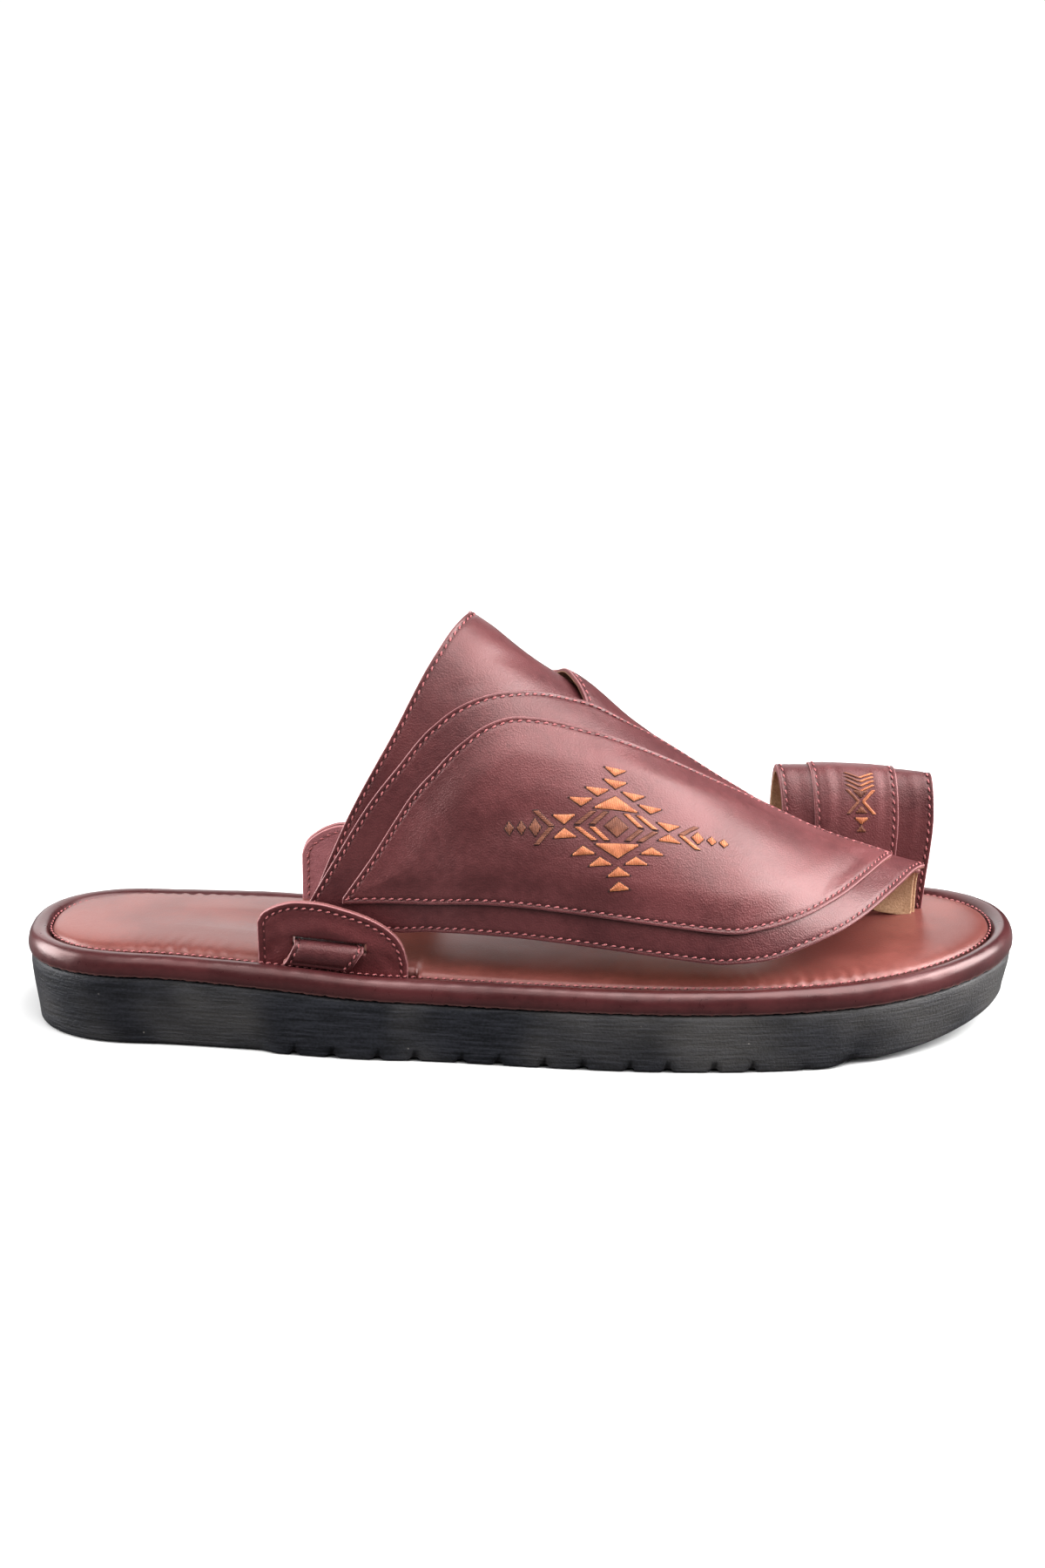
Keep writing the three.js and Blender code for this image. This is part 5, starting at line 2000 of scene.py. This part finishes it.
    def build(self) -> None:
        """Builds every layer of the sole."""
        self.outsole()
        self.midsole()
        self.footbed()
        self.groove_seam()


@dataclass
class Studio:
    """Camera, soft lights and a plain pale floor."""

    shop: Workshop
    elevation: float = 16.8
    distance: float = 0.797
    aim: tuple[float, float, float] = (0.4, 0.0, 70.5)
    lens: float = 63.3
    dim: float = 0.05
    bright: float = 2.2

    def camera(self) -> None:
        """Sets the camera at the photograph's viewing angle."""
        data = bpy.data.cameras.new("camera")
        data.lens = self.lens
        data.sensor_width = 36.0
        made = bpy.data.objects.new("camera", data)
        bpy.context.scene.collection.objects.link(made)
        target = Vector(self.shop.lay(np.array(self.aim)))
        angle = math.radians(self.elevation)
        back = Vector((0.0, -math.cos(angle), math.sin(angle)))
        made.location = target + back * self.distance
        made.rotation_euler = back.to_track_quat("Z", "Y").to_euler()
        bpy.context.scene.camera = made

    def soft_light(self, name: str, place: tuple[float, float, float], size: float, watts: float) -> None:
        """Hangs a square soft light that faces the shoe."""
        data = bpy.data.lights.new(name, "AREA")
        data.size = size
        data.energy = watts
        made = bpy.data.objects.new(name, data)
        made.location = place
        made.rotation_euler = Vector(place).to_track_quat("Z", "Y").to_euler()
        bpy.context.scene.collection.objects.link(made)

    def floor(self) -> None:
        """Lays the floor, which the camera sees grow into a white backdrop far from the shoe."""
        mesh = bpy.data.meshes.new("floor")
        reach = 60.0
        corners = [(-reach, -reach, 0), (reach, -reach, 0), (reach, reach, 0), (-reach, reach, 0)]
        mesh.from_pydata(corners, [], [(0, 1, 2, 3)])
        material, tree = new_material("studio_floor")
        seen = tree.node("ShaderNodeLightPath").outputs["Is Camera Ray"]
        colour = tree.mix(seen, (0.07, 0.07, 0.07, 1.0), (0.6, 0.6, 0.6, 1.0))
        where = tree.node("ShaderNodeTexCoord").outputs["Object"]
        far = tree.node("ShaderNodeVectorMath", {0: where}, operation="LENGTH").outputs["Value"]
        glow = tree.math("MULTIPLY", seen, tree.range(far, 0.3, 1.3))
        white = (1.0, 1.0, 1.0, 1.0)
        fixed = {"Specular IOR Level": 0.1, "Emission Color": white, "Emission Strength": glow}
        close_material(tree, colour, 0.9, None, fixed)
        mesh.materials.append(material)
        made = bpy.data.objects.new("floor", mesh)
        bpy.context.scene.collection.objects.link(made)

    def surround(self) -> None:
        """A white sweep behind and above the shoe that falls off to a dim room before it."""
        world = bpy.data.worlds.new("studio")
        world.use_nodes = True
        tree = Tree(world.node_tree)
        way = tree.node("ShaderNodeTexCoord").outputs["Generated"]
        lit_bar = tree.node("ShaderNodeSeparateXYZ", {0: way}).outputs
        wide = tree.math("MULTIPLY", tree.math("ABSOLUTE", lit_bar["X"]), 0.4)
        side = tree.math("ADD", wide, tree.math("MULTIPLY", lit_bar["Y"], 0.12))
        high = tree.math("ADD", side, lit_bar["Z"])
        strength = tree.range(high, 0.05, 1.2, self.dim, self.bright)
        seen = tree.node("ShaderNodeLightPath").outputs["Is Camera Ray"]
        strength = tree.math("MAXIMUM", strength, tree.math("MULTIPLY", seen, 1.2))
        world.node_tree.links.new(strength, world.node_tree.nodes["Background"].inputs[1])
        bpy.context.scene.world = world

    def build(self) -> None:
        """Sets up the whole studio."""
        self.camera()
        self.floor()
        self.surround()
        self.soft_light("key_light", (0.55, -0.35, 1.2), 1.5, 44.0)
        self.soft_light("toe_light", (1.15, -0.05, 0.62), 1.0, 40.0)
        self.soft_light("heel_light", (-1.25, 0.05, 0.42), 1.0, 36.0)
        self.soft_light("front_light", (-0.25, -0.9, 1.1), 1.1, 10.0)
        self.soft_light("back_light", (-0.3, 1.4, 0.8), 1.6, 13.0)
        bpy.context.scene.view_settings.view_transform = "Standard"


def main() -> None:
    """Builds the sandal in order, then the studio."""
    logging.basicConfig(level=logging.INFO, format="%(message)s")
    shop = Workshop()
    studio = Studio(shop)
    studio.build()
    finishes = Finishes.build()
    stitcher = Stitcher(shop, finishes)
    Sole(shop, finishes, stitcher).build()
    Ear(shop, finishes, stitcher, Side.LATERAL, 70.2, 23.1).build()
    Ear(shop, finishes, stitcher, Side.MEDIAL, 79.0, 28.5).build()
    Upper(shop, finishes, stitcher).build()
    ToeLoop(shop, finishes, stitcher).build()


if __name__ == "__main__":
    main()
